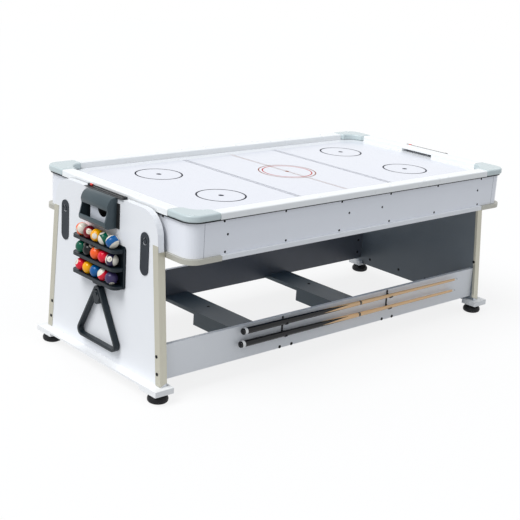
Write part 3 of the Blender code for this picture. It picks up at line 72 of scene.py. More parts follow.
def camera_axes():
    """Right, up and backward directions of the camera."""
    forward = Vector((math.sin(LOOK_AZIMUTH) * math.cos(LOOK_DOWN),
                      math.cos(LOOK_AZIMUTH) * math.cos(LOOK_DOWN), -math.sin(LOOK_DOWN)))
    right = Vector((math.cos(LOOK_AZIMUTH), -math.sin(LOOK_AZIMUTH), 0))
    down = forward.cross(right)
    turned_right = right * math.cos(LOOK_TURN) + down * math.sin(LOOK_TURN)
    turned_down = down * math.cos(LOOK_TURN) - right * math.sin(LOOK_TURN)
    return turned_right, -turned_down, -forward


CAMERA_RIGHT, CAMERA_UP, TOWARD_CAMERA = camera_axes()
camera = added("camera", bpy.data.cameras.new("camera"))
camera.data.sensor_width = SENSOR_WIDTH
camera.data.lens = SENSOR_WIDTH * FOCAL_PIXELS / PICTURE_WIDTH
camera.data.clip_end = CLIP_END
turn = Matrix((CAMERA_RIGHT, CAMERA_UP, TOWARD_CAMERA)).transposed()
camera.matrix_world = Matrix.Translation(CAMERA_PLACE) @ turn.to_4x4()
bpy.context.scene.camera = camera
print("lens", round(camera.data.lens, 2), "mm")

# %% [markdown]
# Node trees get long, so one helper makes a node and feeds it, and a few small ones build on it:
# a sum or a comparison, a mix of two colours, noise in real metres, and the values that a finish
# starts from. A finish could hold one even colour, but real skins vary a little in colour and gloss.

# %% Node helpers
def feed(tree, node, inputs):
    """Gives inputs of a node, by name or number, a socket to join or a plain value."""
    for key, value in inputs.items():
        if isinstance(value, bpy.types.NodeSocket):
            tree.links.new(value, node.inputs[key])
        else:
            node.inputs[key].default_value = value


def add_node(tree, kind, inputs, output=0, operation=None):
    """A new shader node with its inputs fed; gives one of its outputs."""
    node = tree.nodes.new("ShaderNode" + kind)
    if operation:
        node.operation = operation
    feed(tree, node, inputs)
    return node.outputs[output]


def calculate(tree, operation, *values):
    """A sum or a comparison of sockets and plain numbers; COMPARE asks if a is within c of b."""
    return add_node(tree, "Math", dict(enumerate(values)), operation=operation)


def mixed(tree, factor, *colours):
    """Two colours, each a socket or three numbers, mixed by a factor."""
    node = tree.nodes.new("ShaderNodeMix")
    node.data_type = "RGBA"
    first, second = ((*value, 1.0) if isinstance(value, tuple) else value for value in colours)
    feed(tree, node, {"Factor": factor, 6: first, 7: second})
    return node.outputs[2]


def shaded_point(tree, output="Object"):
    """The shaded point in the piece's own metres, or its normal."""
    return add_node(tree, "TexCoord", {}, output)


def noise(tree, scale, stretch=(1, 1, 1), detail=2.0):
    """Soft random pattern, with so many cells to the metre along each stretched axis."""
    place = add_node(tree, "Mapping", {"Vector": shaded_point(tree), "Scale": stretch})
    return add_node(tree, "TexNoise", {"Vector": place, "Scale": scale, "Detail": detail})


def axis_of(tree, index, output="Object"):
    """One coordinate of the shaded point, or of its normal."""
    return add_node(tree, "SeparateXYZ", {0: shaded_point(tree, output)}, index)


def finish(name, colour, roughness, metallic=0.0, specular=0.5, coat=0.0, coat_roughness=0.03):
    """A material whose even values sit on the shader itself."""
    material = bpy.data.materials.new(name)
    material.use_nodes = True
    tree = material.node_tree
    shader = tree.nodes["Principled BSDF"]
    feed(tree, shader, {"Base Color": (*colour, 1.0), "Roughness": roughness, "Metallic": metallic,
                        "Specular IOR Level": specular, "Coat Weight": coat,
                        "Coat Roughness": coat_roughness})
    return material, tree, shader


def relief(tree, shader, height, strength, depth):
    """Bump from a height pattern; depth is in metres."""
    bump = add_node(tree, "Bump", {"Height": height, "Strength": strength, "Distance": depth})
    feed(tree, shader, {"Normal": bump})


def dress(tree, shader, colour, pattern, low, high):
    """Gives a shader its colour, and a roughness that follows a pattern between two values."""
    gloss = add_node(tree, "MapRange", {"Value": pattern, "To Min": low, "To Max": high})
    feed(tree, shader, {"Base Color": colour, "Roughness": gloss})


print("node helpers ready")

# %% [markdown]
# The table stands on a pale studio floor. The floor and the sky are white for the camera and for
# reflections, and dimmer for the light that they throw, so the white boards keep their shading.
# One broad sun from the upper left gives the bright field, the pale left end and the darker front.

# %% Floor, sky and sun
SKY_LIGHT = 0.54
SKY_TINT = (0.90, 0.945, 1.0)
FLOOR_BOUNCE = 0.50
FLOOR_SEEN = 0.93
FLOOR_SHADOW_SHARE = 0.16
SUN_STRENGTH = 2.15
SUN_SOFTNESS = math.radians(35)
SUN_TOWARD = (-0.56, 0.03, 0.83)
FLOOR_HALF = 14.0
FLOOR_LEVEL = -0.0002
FLOOR_ROUGHNESS = 0.9


def seen_directly(tree):
    """1 for camera, mirror and see-through rays, 0 for the rays that carry light."""
    path = tree.nodes.new("ShaderNodeLightPath").outputs
    mirror = calculate(tree, "MAXIMUM", path["Is Glossy Ray"], path["Is Transmission Ray"])
    return calculate(tree, "MAXIMUM", path["Is Camera Ray"], mirror)


def mix_surfaces(tree, share, first, second, output):
    """Sends a mix of two shaders to an output node; at a share of 1 the second is seen."""
    mix = add_node(tree, "MixShader", {0: share, 1: first, 2: second})
    feed(tree, tree.nodes[output], {"Surface": mix})


def floor_material():
    even = (FLOOR_BOUNCE,) * 3
    material, tree, shader = finish("pale_floor", even, FLOOR_ROUGHNESS, specular=0.0)
    seen = seen_directly(tree)
    feed(tree, shader, {"Base Color": mixed(tree, seen, even, (FLOOR_SEEN,) * 3)})
    white = add_node(tree, "Emission", {"Strength": 1.0})
    share = calculate(tree, "MULTIPLY", seen, 1 - FLOOR_SHADOW_SHARE)
    mix_surfaces(tree, share, shader.outputs[0], white, "Material Output")
    return material


def mesh_from(shape, name):
    """Turns a bmesh into a mesh and frees it."""
    mesh = bpy.data.meshes.new(name)
    shape.to_mesh(mesh)
    shape.free()
    return mesh


def pale_floor():
    shape = bmesh.new()
    bmesh.ops.create_grid(shape, x_segments=4, y_segments=4, size=FLOOR_HALF)
    floor = added("pale_floor", mesh_from(shape, "pale_floor"))
    floor.location.z = FLOOR_LEVEL
    floor.data.materials.append(floor_material())


def sky():
    world = bpy.data.worlds.new("studio_sky")
    bpy.context.scene.world = world
    world.use_nodes = True
    tree = world.node_tree
    light = tree.nodes["Background"]
    feed(tree, light, {"Strength": SKY_LIGHT, "Color": (*SKY_TINT, 1)})
    backdrop = add_node(tree, "Background", {"Color": (1, 1, 1, 1)})
    mix_surfaces(tree, seen_directly(tree), light.outputs[0], backdrop, "World Output")


def sun():
    lamp = added("key_sun", bpy.data.lights.new("key_sun", "SUN"))
    lamp.data.energy = SUN_STRENGTH
    lamp.data.angle = SUN_SOFTNESS
    lamp.rotation_euler = Vector(SUN_TOWARD).to_track_quat("Z", "Y").to_euler()


pale_floor()
sky()
sun()
bpy.context.scene.view_settings.view_transform = "Standard"
print("sky", SKY_LIGHT, "sun", SUN_STRENGTH)

# %% [markdown]
# The boards are fibreboard under white laminate. Laminate is never quite flat or evenly glossy: it
# has a fine orange-peel skin and faint clouds. The same function makes boards that are white
# outside and dark grey inside, by asking which way each face looks.

# %% Laminated boards
WHITE = (0.865, 0.882, 0.91)
WHITE_CLOUD = (0.84, 0.858, 0.89)
DARK_GREY = (0.110, 0.148, 0.172)
STRETCHER_GREY = (0.126, 0.138, 0.165)
LEG_GREY = (0.205, 0.234, 0.259)
APRON_WHITE = (0.88, 0.90, 0.955)
POST_SEAM_X = 0.932
SEAM_HALF = 0.0010
SEAM_GREY = (0.30, 0.31, 0.35)
PEEL, PEEL_SCALE, PEEL_DEPTH = 0.02, 420.0, 0.0004
CLOUD_SCALE = 5.0
FACING = 0.6
EDGE_ROUND = 0.0015


def clouded(colour, share=1.16):
    """A slightly lighter or darker shade, for the clouds in a finish."""
    return tuple(channel * share for channel in colour)


def laminate_skin(tree, shader, colour, low, high, gloss_scale=16.0):
    """Colour, uneven gloss and orange peel, which all the laminates share."""
    dress(tree, shader, colour, noise(tree, gloss_scale), low, high)
    relief(tree, shader, noise(tree, PEEL_SCALE, detail=3.0), PEEL, PEEL_DEPTH)


def laminate(name, colour, cloud, roughness):
    material, tree, shader = finish(name, colour, roughness)
    board = mixed(tree, noise(tree, CLOUD_SCALE), colour, cloud)
    laminate_skin(tree, shader, board, roughness - 0.03, roughness + 0.04)
    return material


def inward_laminate(name, index, inward, grey):
    """White laminate with a dark grey face on the side that looks along an axis."""
    material, tree, shader = finish(name, WHITE, 0.36)
    looking = calculate(tree, "MULTIPLY", axis_of(tree, index, "Normal"), inward)
    inside = calculate(tree, "GREATER_THAN", looking, FACING)
    white = mixed(tree, noise(tree, CLOUD_SCALE), WHITE, WHITE_CLOUD)
    dark = mixed(tree, noise(tree, 9.0, detail=5.0), grey, clouded(grey))
    laminate_skin(tree, shader, mixed(tree, inside, white, dark), 0.32, 0.40)
    return material


def apron_laminate(name):
    """Cool white laminate with a fine dark seam where the corner posts meet the boards."""
    material, tree, shader = finish(name, APRON_WHITE, 0.34)
    reach = calculate(tree, "ABSOLUTE", axis_of(tree, 0))
    seam = calculate(tree, "COMPARE", reach, POST_SEAM_X, SEAM_HALF)
    board = mixed(tree, noise(tree, CLOUD_SCALE), APRON_WHITE, clouded(APRON_WHITE, 0.97))
    laminate_skin(tree, shader, mixed(tree, seam, board, SEAM_GREY), 0.30, 0.38, 18.0)
    return material


def repaint(material, *names):
    """Gives CAD nodes a finish by assigning to their material slots."""
    for name in names:
        for slot in NODES[name].material_slots:
            slot.material = material


def soften(piece, width, segments=2, angle=45):
    """Rounds a piece's sharp edges, as real edges are, so that they catch a line of light."""
    bevel = piece.modifiers.new("edge", "BEVEL")
    bevel.width = width
    bevel.segments = segments
    bevel.limit_method = "ANGLE"
    bevel.angle_limit = math.radians(angle)
    bevel.harden_normals = False


SIDES = {"left": -1, "right": 1}
ENDS = {"front": -1, "back": 1}
CORNERS = [f"{side}_{end}" for side in SIDES for end in ENDS]
# The base boards get a whiter copy of the white laminate: painted light for the light on their tops
BASE_LIT_WHITE = (0.94, 0.945, 0.94)
DARK_BOARD = laminate("dark_board", DARK_GREY, clouded(DARK_GREY), 0.38)
BASE_LIT_LAMINATE = laminate("base_lit_laminate", BASE_LIT_WHITE, WHITE, 0.36)
repaint(apron_laminate("apron_finish"), *[f"{place}_apron" for place in (*SIDES, *ENDS)])
for end, sign in ENDS.items():
    repaint(inward_laminate(f"{end}_stretcher_finish", 1, -sign, STRETCHER_GREY), f"{end}_stretcher")
for side, sign in SIDES.items():
    repaint(inward_laminate(f"{side}_leg_finish", 0, -sign, LEG_GREY), f"{side}_leg_panel")
    repaint(BASE_LIT_LAMINATE, f"{side}_base_board")
    repaint(DARK_BOARD, f"{side}_cross_beam")
    soften(NODES[f"{side}_base_board"], EDGE_ROUND)
    soften(NODES[f"{side}_leg_panel"], EDGE_ROUND)
print("boards dressed")

# %% [markdown]
# The hockey rails are wrapped in a smoother, whiter foil than the cabinet. The corner caps are
# moulded in a pale grey-green plastic, glossy, with the slight waves of a moulded skin.

# %% Rails and corner caps
RAIL_WHITE = (0.925, 0.94, 0.945)
RAIL_SHADE = (0.905, 0.922, 0.932)
CAP_PALE = (0.575, 0.655, 0.665)
CAP_DEEP = (0.545, 0.63, 0.645)
GRAIN, GRAIN_DEPTH = 0.035, 0.0003


def moulded(name, colour, cloud, roughness, grain_scale=350.0, specular=0.5):
    """Moulded plastic with a fine even grain."""
    material, tree, shader = finish(name, colour, roughness, specular=specular)
    clouds = mixed(tree, noise(tree, 12.0), colour, cloud)
    dress(tree, shader, clouds, noise(tree, 25.0), roughness - 0.03, roughness + 0.05)
    relief(tree, shader, noise(tree, grain_scale, detail=2.0), GRAIN, GRAIN_DEPTH)
    return material


HOCKEY_RAIL = laminate("hockey_rail_foil", RAIL_WHITE, RAIL_SHADE, 0.28)
CORNER_CAP = moulded("corner_cap_plastic", CAP_PALE, CAP_DEEP, 0.25)
repaint(HOCKEY_RAIL, "hockey_rail_frame")
repaint(CORNER_CAP, *[f"{corner}_corner_cap" for corner in CORNERS])

# %% [markdown]
# A black strip runs right round under the rails and caps and shows as a thin dark line: it is painted
# shadow, the shade under their overhang.
# It is a hollow frame: two rounded rectangles, one inside the other, at two heights, joined by
# four strips of faces. A box would need its corners rounded again, so outlines of points are the
# simpler way here, and for most of the small pieces below.

# %% Painted shadow under the rails
def placed(name, mesh, body, place=(0, 0, 0)):
    """An object for a mesh, riding on a body."""
    piece = added(name, mesh)
    piece.location = place
    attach(piece, body)
    return piece


def mesh_piece(name, points, faces, material, body="stand", slot="black_plastic", angle=35):
    """A skin from points and faces, with equal points joined, smooth except at its sharp edges."""
    shape = bmesh.new()
    corners = [shape.verts.new(point) for point in points]
    for face in faces:
        shape.faces.new([corners[i] for i in face])
    bmesh.ops.remove_doubles(shape, verts=shape.verts, dist=1e-7)
    bmesh.ops.recalc_face_normals(shape, faces=shape.faces)
    mesh = mesh_from(shape, name)
    mesh.shade_smooth()
    mesh.set_sharp_from_angle(angle=math.radians(angle))
    mesh.materials.append(material)
    return placed(name, mesh, body)


def arc(centre, radius, start, end, steps):
    """Points on a circle between two angles in degrees, both ends included."""
    angles = [math.radians(start + (end - start) * i / steps) for i in range(steps + 1)]
    return [(centre[0] + radius * math.cos(a), centre[1] + radius * math.sin(a)) for a in angles]


def turn_at(corners, index):
    """A corner, the directions to the corners before and after it, and half the angle there."""
    before, here, after = (Vector(corners[(index + k) % len(corners)]) for k in (-1, 0, 1))
    back, ahead = (before - here).normalized(), (after - here).normalized()
    return here, back, (back + ahead).normalized(), back.angle(ahead) / 2


def filleted(corners, radii, steps=8):
    """A polygon, listed anticlockwise, with an arc at each corner."""
    points = []
    for index, radius in enumerate(radii):
        here, back, inward, half = turn_at(corners, index)
        centre = here + inward * radius / math.sin(half)
        start = centre + back.orthogonal() * radius
        first = math.degrees(math.atan2(*(start - centre).yx))
        points += arc(centre, radius, first, first + 180 - math.degrees(2 * half), steps)
    return points


def rounded_rectangle(half, radius, steps=8, centre=(0, 0)):
    """A rectangle with round corners."""
    corners = [(centre[0] + a * half[0], centre[1] + b * half[1])
               for a, b in ((1, 1), (-1, 1), (-1, -1), (1, -1))]
    return filleted(corners, (radius,) * 4, steps)


# Where a point (a, b) of an outline and its level c lie, for each axis that a form runs along
AXES = {"X": lambda a, b, c: (c, a, b), "Y": lambda a, b, c: (a, c, b),
        "Z": lambda a, b, c: (a, b, c)}


def strips(count, pairs):
    """Faces with four sides between rings of count points, for each pair of ring numbers."""
    return [(a * count + i, a * count + (i + 1) % count, b * count + (i + 1) % count, b * count + i)
            for a, b in pairs for i in range(count)]


def frame_ring(name, outer, inner, low, high, material, body, axis="Z"):
    """A closed frame between two outlines with equally many points."""
    points = [AXES[axis](a, b, level) for level in (low, high) for a, b in outer + inner]
    faces = strips(len(outer), ((0, 1), (1, 3), (3, 2), (2, 0)))
    return mesh_piece(name, points, faces, material, body)


SHADOW_STRIP_OUT, SHADOW_STRIP_IN, SHADOW_STRIP_DEPTH = 0.0092, 0.0004, 0.0046
APRON_HALF = (1.002, 0.532)
APRON_RADIUS = 0.055
# Near-black painted shadow: the shade that falls under the rails' overhang
SHADOW_STRIP_BLACK = moulded("painted_shadow_strip", (0.014, 0.016, 0.019), (0.019, 0.021, 0.024), 0.5, specular=0.2)
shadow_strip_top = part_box("left_front_corner_cap")[0].z - 0.0002
shadow_strip_lines = [rounded_rectangle(tuple(half + out for half in APRON_HALF), APRON_RADIUS + out)
              for out in (SHADOW_STRIP_OUT, SHADOW_STRIP_IN)]
# The frame of painted shadow under the rails and caps
frame_ring("rail_shadow_strip", *shadow_strip_lines, shadow_strip_top - SHADOW_STRIP_DEPTH, shadow_strip_top, SHADOW_STRIP_BLACK, "top")
print("shadow strip from", round(shadow_strip_top - SHADOW_STRIP_DEPTH, 4), "to", round(shadow_strip_top, 4))

# %% [markdown]
# The playing board is coated and drilled with rows of tiny air holes, one about every 25 mm. They
# are too many to cut, so the finish draws each as a dark dot: the distance to the nearest point of
# a square grid, worked out from the place of the shaded point. The tinted field is printed inside
# a white border.

# %% Playing board
FIELD_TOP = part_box("hockey_playfield")[1].z
HOLE_PITCH = 0.0254
HOLE_RADIUS = 0.0007
HOLE_GREY = (0.25, 0.25, 0.28)
FIELD_TINT = (0.755, 0.775, 0.85)
FIELD_CLOUD = (0.775, 0.79, 0.855)
PRINT_HALF = (0.905, 0.425)
PRINT_CORNER = 0.085
INK_THICKNESS = 0.00015


def air_hole_mask(tree):
    """1 inside an air hole: near the middle of a grid cell both ways."""
    parts = []
    for index in (0, 1):
        cells = calculate(tree, "DIVIDE", axis_of(tree, index), HOLE_PITCH)
        offset = calculate(tree, "SUBTRACT", calculate(tree, "FRACT", cells), 0.5)
        parts.append(calculate(tree, "MULTIPLY", offset, offset))
    distance = calculate(tree, "SQRT", calculate(tree, "ADD", *parts))
    return calculate(tree, "LESS_THAN", distance, HOLE_RADIUS / HOLE_PITCH)


def coated_board(name, colour, cloud):
    """A glossy coat over a board with its air holes."""
    material, tree, shader = finish(name, colour, 0.22, coat=0.3, coat_roughness=0.15)
    base = mixed(tree, noise(tree, 4.0), colour, cloud)
    drilled = mixed(tree, air_hole_mask(tree), base, HOLE_GREY)
    dress(tree, shader, drilled, noise(tree, 45.0, detail=4.0), 0.20, 0.27)
    return material


def slab(outline, low, high, axis="Z"):
    """An outline swept along an axis into a closed body."""
    count = len(outline)
    points = [AXES[axis](a, b, level) for level in (low, high) for a, b in outline]
    return points, [tuple(range(count)), tuple(range(count, 2 * count))] + strips(count, [(0, 1)])


repaint(coated_board("white_border", WHITE, WHITE_CLOUD), "hockey_playfield")
PRINTED = coated_board("printed_field", FIELD_TINT, FIELD_CLOUD)
mesh_piece("printed_field", *slab(rounded_rectangle(PRINT_HALF, PRINT_CORNER), FIELD_TOP,
                                  FIELD_TOP + INK_THICKNESS), PRINTED, "top", "play_surface")
print("field top", round(FIELD_TOP, 4))

# %% [markdown]
# The markings are ink, a hair above the tinted field: four thin navy circles with a dot, a brown
# and a red circle in the middle, and three pairs of hatched lines across. They could be drawn in
# the finish, but a ring of two circles of points, joined by faces, stays crisp from any distance.

# %% Field markings
NAVY = (0.006, 0.008, 0.020)
RED_INK = (0.50, 0.05, 0.035)
BROWN_INK = (0.30, 0.12, 0.075)
GREY_INK = (0.15, 0.152, 0.172)
TAN_INK = (0.42, 0.31, 0.25)
CIRCLE_PLACES = [(a * 0.600, b * 0.2265) for a in (-1, 1) for b in (-1, 1)]
ZONE_LINES = (("left_zone_line", -0.300), ("right_zone_line", 0.293))
INK_TOP = FIELD_TOP + 2 * INK_THICKNESS
LINE_TOP = FIELD_TOP + 1.5 * INK_THICKNESS
HATCH_SCALE, HATCH_SHARE = 1400.0, 0.25
BIG_RING, BIG_DOT, DOT_STEPS = (0.1122, 0.1042), (0.0125,), 24


def ink(name, colour, gap_colour=None):
    """Printed ink; with a gap colour it is a hatch of fine slanting strokes."""
    material, tree, shader = finish(name, colour, 0.6, specular=0.1)
    base = mixed(tree, noise(tree, 80.0, detail=4.0), colour, clouded(colour))
    if gap_colour:
        slant = calculate(tree, "ADD", axis_of(tree, 0), axis_of(tree, 1))
        stroke = calculate(tree, "SINE", calculate(tree, "MULTIPLY", slant, HATCH_SCALE))
        base = mixed(tree, calculate(tree, "GREATER_THAN", stroke, HATCH_SHARE), base, gap_colour)
    feed(tree, shader, {"Base Color": base})
    return material


def circle(name, centre, radii, material, steps=72):
    """A ring between two radii, or a dot with one."""
    points = [(x, y, INK_TOP) for radius in radii for x, y in arc(centre, radius, 0, 360, steps)[:-1]]
    faces = strips(steps, [(0, 1)]) if len(radii) > 1 else [tuple(range(steps))]
    mesh_piece(name, points, faces, material, "top", "play_surface")


def field_line(name, x, material, half_gap, width):
    """A pair of hatched lines across the field, with a gap between them."""
    reach = PRINT_HALF[1]
    for side, sign in SIDES.items():
        low, high = sorted((x + sign * half_gap, x + sign * (half_gap + width)))
        corners = ((low, -reach), (high, -reach), (high, reach), (low, reach))
        points = [(a, b, LINE_TOP) for a, b in corners]
        mesh_piece(f"{name}_{side}", points, [(0, 1, 2, 3)], material, "top", "play_surface")


NAVY_INK = ink("navy_ink", NAVY)
for number, centre in enumerate(CIRCLE_PLACES):
    circle(f"face_off_circle_{number}", centre, BIG_RING, NAVY_INK)
    circle(f"face_off_dot_{number}", centre, BIG_DOT, NAVY_INK, DOT_STEPS)
circle("centre_circle_outer", (0, 0), (0.1415, 0.1360), ink("brown_ink", BROWN_INK))
circle("centre_circle_inner", (0, 0), (0.1230, 0.1172), ink("red_ink", RED_INK))
circle("centre_dot", (0, 0), (0.011,), ink("brown_dot_ink", BROWN_INK), DOT_STEPS)
for name, x in ZONE_LINES:
    field_line(name, x, ink(name + "_ink", GREY_INK, FIELD_TINT), 0.0035, 0.0085)
field_line("centre_line", 0.0, ink("centre_line_ink", TAN_INK, FIELD_TINT), 0.002, 0.0065)
print("markings at", round(INK_TOP, 5))

# %% [markdown]
# The leg trims and the pool side's corner castings are champagne coloured metal. A rolled trim has
# long fine lines along its length; a casting has a sandy skin. Each has its own stretch of noise.

# %% Champagne metal
TRIM_CHAMPAGNE = (0.52, 0.505, 0.425)
CASTING_CHAMPAGNE = (0.455, 0.447, 0.395)


def champagne(name, colour, metallic, stretch, grain_scale):
    """Coated metal; the stretch draws its lines out along the piece."""
    material, tree, shader = finish(name, colour, 0.38, metallic=metallic)
    lines = noise(tree, 260.0, stretch, detail=3.0)
    dress(tree, shader, mixed(tree, lines, colour, clouded(colour, 1.1)), lines, 0.30, 0.46)
    relief(tree, shader, noise(tree, grain_scale, stretch, detail=2.0), 0.12, 0.0003)
    return material


TRIM_METAL = champagne("trim_metal", TRIM_CHAMPAGNE, 0.75, (1, 1, 0.02), 700.0)
CASTING_METAL = champagne("casting_metal", CASTING_CHAMPAGNE, 0.35, (1, 1, 1), 500.0)
for corner in CORNERS:
    repaint(TRIM_METAL, f"{corner}_trim")
    repaint(CASTING_METAL, f"{corner}_corner_casting")
    soften(NODES[f"{corner}_corner_casting"], 0.0012)
    soften(NODES[f"{corner}_trim"], 0.0006)

# %% [markdown]
# Black parts are not all the same black. The goal boxes and lock plates are a grained charcoal,
# the ball rack and triangle a glossier blue-black, the feet rubbery, and the cue clips painted
# steel. The pivot shafts and the blower's wheel stay bright steel with turning marks.

# %% Blacks and steels
# Colour, roughness and specular of each
BLACKS = {"charcoal_plastic": ((0.047, 0.068, 0.079), 0.36, 0.35),
          "lock_plate_plastic": ((0.024, 0.030, 0.038), 0.5, 0.25),
          "rack_plastic": ((0.007, 0.013, 0.018), 0.30, 0.3),
          "foot_rubber": ((0.008, 0.009, 0.011), 0.5, 0.25),
          "painted_clip_steel": ((0.010, 0.011, 0.014), 0.4, 0.3),
          "score_bar_plastic": ((0.012, 0.014, 0.017), 0.35, 0.4)}
STEEL_GREY, STEEL_DEEP, STEEL_LIGHT = (0.56, 0.565, 0.57), (0.50, 0.505, 0.51), (0.60, 0.605, 0.61)
CHARCOAL, LOCK_GREY, RACK_BLACK, RUBBER, CLIP_STEEL, SCORE_BLACK = (
    moulded(name, colour, clouded(colour, 1.25), roughness, 600.0, specular=specular)
    for name, (colour, roughness, specular) in BLACKS.items())
RED_PLASTIC = moulded("red_plastic", (0.80, 0.045, 0.03), (0.72, 0.04, 0.03), 0.3, 500.0)


def turned_steel(name):
    material, tree, shader = finish(name, STEEL_GREY, 0.3, metallic=1.0)
    marks = noise(tree, 900.0, (1, 0.1, 0.1), detail=2.0)
    dress(tree, shader, mixed(tree, marks, STEEL_DEEP, STEEL_LIGHT), marks, 0.22, 0.38)
    return material


STEEL = turned_steel("turned_steel")
for corner in CORNERS:
    repaint(LOCK_GREY, f"{corner}_lock_plate", f"{corner}_lock_pin")
    soften(NODES[f"{corner}_lock_plate"], 0.0008)
for side in SIDES:
    repaint(CLIP_STEEL, f"{side}_cue_clip", f"{side}_pivot_bearing")
    repaint(STEEL, f"{side}_pivot_shaft")
    repaint(RED_PLASTIC, f"{side}_score_bead")
repaint(RACK_BLACK, "ball_rack", "ball_triangle")
repaint(CHARCOAL, "blower_housing")
repaint(STEEL, "blower_impeller")
repaint(RED_PLASTIC, "rocker_switch")
soften(NODES["ball_rack"], 0.0012, angle=60)
soften(NODES["ball_triangle"], 0.002, 3)

# %% [markdown]
# A foot is a moulded dome with grip rings, screwed in on a stud. It is a body of revolution, so a
# profile of radius and height is turned round the foot's own axis. The same helper makes the
# cues, the pocket liners and the score rods.

# %% Levelling feet
def lathe(profile, centre, axis="Z", sides=40):
    """A body of revolution from (radius, along) points, closed on the axis or back to its start."""
    points = [Vector(centre) + Vector(AXES[axis](a, b, along)) for radius, along in profile
              for a, b in arc((0, 0), radius, 0, 360, sides)[:-1]]
    last = len(profile) - 1
    pairs = [(ring, ring + 1) for ring in range(last)] + ([(last, 0)] if profile[0][0] else [])
    return points, strips(sides, pairs)


def middle_of(node):
    """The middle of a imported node's box."""
    low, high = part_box(node)
    return (low + high) / 2


FOOT_PROFILE = [(0, 0.0), (0.030, 0.0), (0.034, 0.0010), (0.0405, 0.0045), (0.0438, 0.0085),
                (0.0436, 0.0100), (0.0449, 0.0135), (0.0449, 0.0185), (0.0436, 0.0235),
                (0.0405, 0.0285), (0.0355, 0.0340), (0.0300, 0.0385), (0.0250, 0.0420),
                (0.0215, 0.0455), (0.0050, 0.0456), (0.0050, 0.0600), (0, 0.0600)]
for corner in CORNERS:
    centre = middle_of(f"{corner}_foot")
    centre.z = 0
    foot = mesh_piece(f"{corner}_levelling_foot", *lathe(FOOT_PROFILE, centre), RUBBER,
                      f"{corner}_foot", angle=50)
    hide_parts(f"{corner}_foot")
print("feet at", [tuple(round(v, 3) for v in middle_of(f"{corner}_foot")[:2]) for corner in CORNERS])

# %% [markdown]
# Black screws hold the boards in rows. Each has a low domed head with a cross cut in it. A plus
# sign has twelve corners, so a head with twelve sides can run straight into the cross with no
# stray faces. They could be separate objects, but one mesh for each set is lighter.

# %% Screws
SCREW_RADIUS = 0.0052
SCREW_HEIGHT = 0.0018
SCREW_SIDES = 12
BIG_SCREW = 1.5
SCREW_BLACK = moulded("screw_black", (0.004, 0.004, 0.006), (0.007, 0.007, 0.009), 0.45, 900.0,
                      0.2)


def plus_outline(reach, half):
    """The twelve corners of a cross, a quarter turn at a time."""
    points = [(reach, half), (half, half), (half, reach)]
    for _ in range(3):
        points += [(-b, a) for a, b in points[-3:]]
    return points


def screw_head(place, outward, scale=1.0):
    """Rings of twelve points from the rim up the dome and down into the cross."""
    outward = Vector(outward).normalized()
    across = outward.orthogonal().normalized()
    along = outward.cross(across)
    rim = arc((0, 0), SCREW_RADIUS, 15, 375, SCREW_SIDES)[:-1]
    dome = [(a * 0.82, b * 0.82) for a, b in rim]
    cross = plus_outline(SCREW_RADIUS * 0.55, SCREW_RADIUS * 0.13)
    shallow = SCREW_HEIGHT * 0.35
    levels = ((rim, 0.0), (rim, shallow), (dome, SCREW_HEIGHT * 0.8), (cross, SCREW_HEIGHT),
              (cross, shallow))
    points = [Vector(place) + scale * (across * a + along * b + outward * height)
              for outline, height in levels for a, b in outline]
    last = SCREW_SIDES * (len(levels) - 1)
    faces = strips(SCREW_SIDES, [(k, k + 1) for k in range(len(levels) - 1)])
    return points, faces + [tuple(range(last, last + SCREW_SIDES))]


def screws(name, body, places, scale=1.0):
    points, faces = [], []
    for place, outward in places:
        head_points, head_faces = screw_head(place, outward, scale)
        faces += [tuple(i + len(points) for i in face) for face in head_faces]
        points += head_points
    mesh_piece(name, points, faces, SCREW_BLACK, body, "black_steel", angle=50)
    print(name, len(places), "screws")


APRON_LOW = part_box("front_apron")[0].z
APRON_HEIGHT = FIELD_TOP - APRON_LOW
APRON_Y = abs(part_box("front_apron")[0].y)
APRON_X = abs(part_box("left_apron")[0].x)
# Rows of screws: share of the apron's height, and shares of its half length
APRON_ROWS = ((0.922, (0.83, 0.495, 0.160)), (0.545, (0.81, 0.108)), (0.065, (0.82, 0.486, 0.164)))
END_SCREW_Y = 0.349
BLOWER_X, BLOWER_CLEAR = 0.48, 0.16


def apron_screws():
    """Rows along front and back, with a gap at the blower, and pairs at the ends."""
    places = []
    for sign in (-1, 1):
        for share, across in APRON_ROWS:
            z = APRON_LOW + APRON_HEIGHT * share
            for x in (half * reach * APRON_X for reach in across for half in (-1, 1)):
                if sign == -1 or abs(x - BLOWER_X) > BLOWER_CLEAR:
                    places.append(((x, sign * APRON_Y, z), (0, sign, 0)))
        places += [((sign * APRON_X, y, APRON_LOW + APRON_HEIGHT * share), (sign, 0, 0))
                   for share, _ in APRON_ROWS for y in (-END_SCREW_Y, END_SCREW_Y)]
    return places


STRETCHER_OUT = abs(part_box("front_stretcher")[0].y)
STRETCHER_IN = abs(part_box("front_stretcher")[1].y)
LEG_IN = abs(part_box("left_leg_panel")[1].x)
BEAM_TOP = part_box("left_cross_beam")[1].z
CLIP_SCREWS_X, CLIP_SCREW_Z = (-0.362, -0.289, 0.323, 0.397), 0.0955
STRETCHER_END_X, STRETCHER_END_Z = 0.987, (0.201, 0.128)
LEG_SCREWS_Y, LEG_SCREW_Z = (-0.32, -0.098, 0.098, 0.32), 0.096
BEAM_X, BEAM_SHIFT, BEAM_SCREWS_Y = 0.344, 0.022, (0.155, -0.122)
TRIM_OUT = abs(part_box("left_front_trim")[0].x)
TRIM_IN = abs(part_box("right_front_trim")[0].x)
TRIM_SCREWS = ((TRIM_OUT, 0.4065, 0.199, 1), (TRIM_OUT, 0.4145, 0.1235, 1),
               (TRIM_IN, 0.412, 0.28, -1))


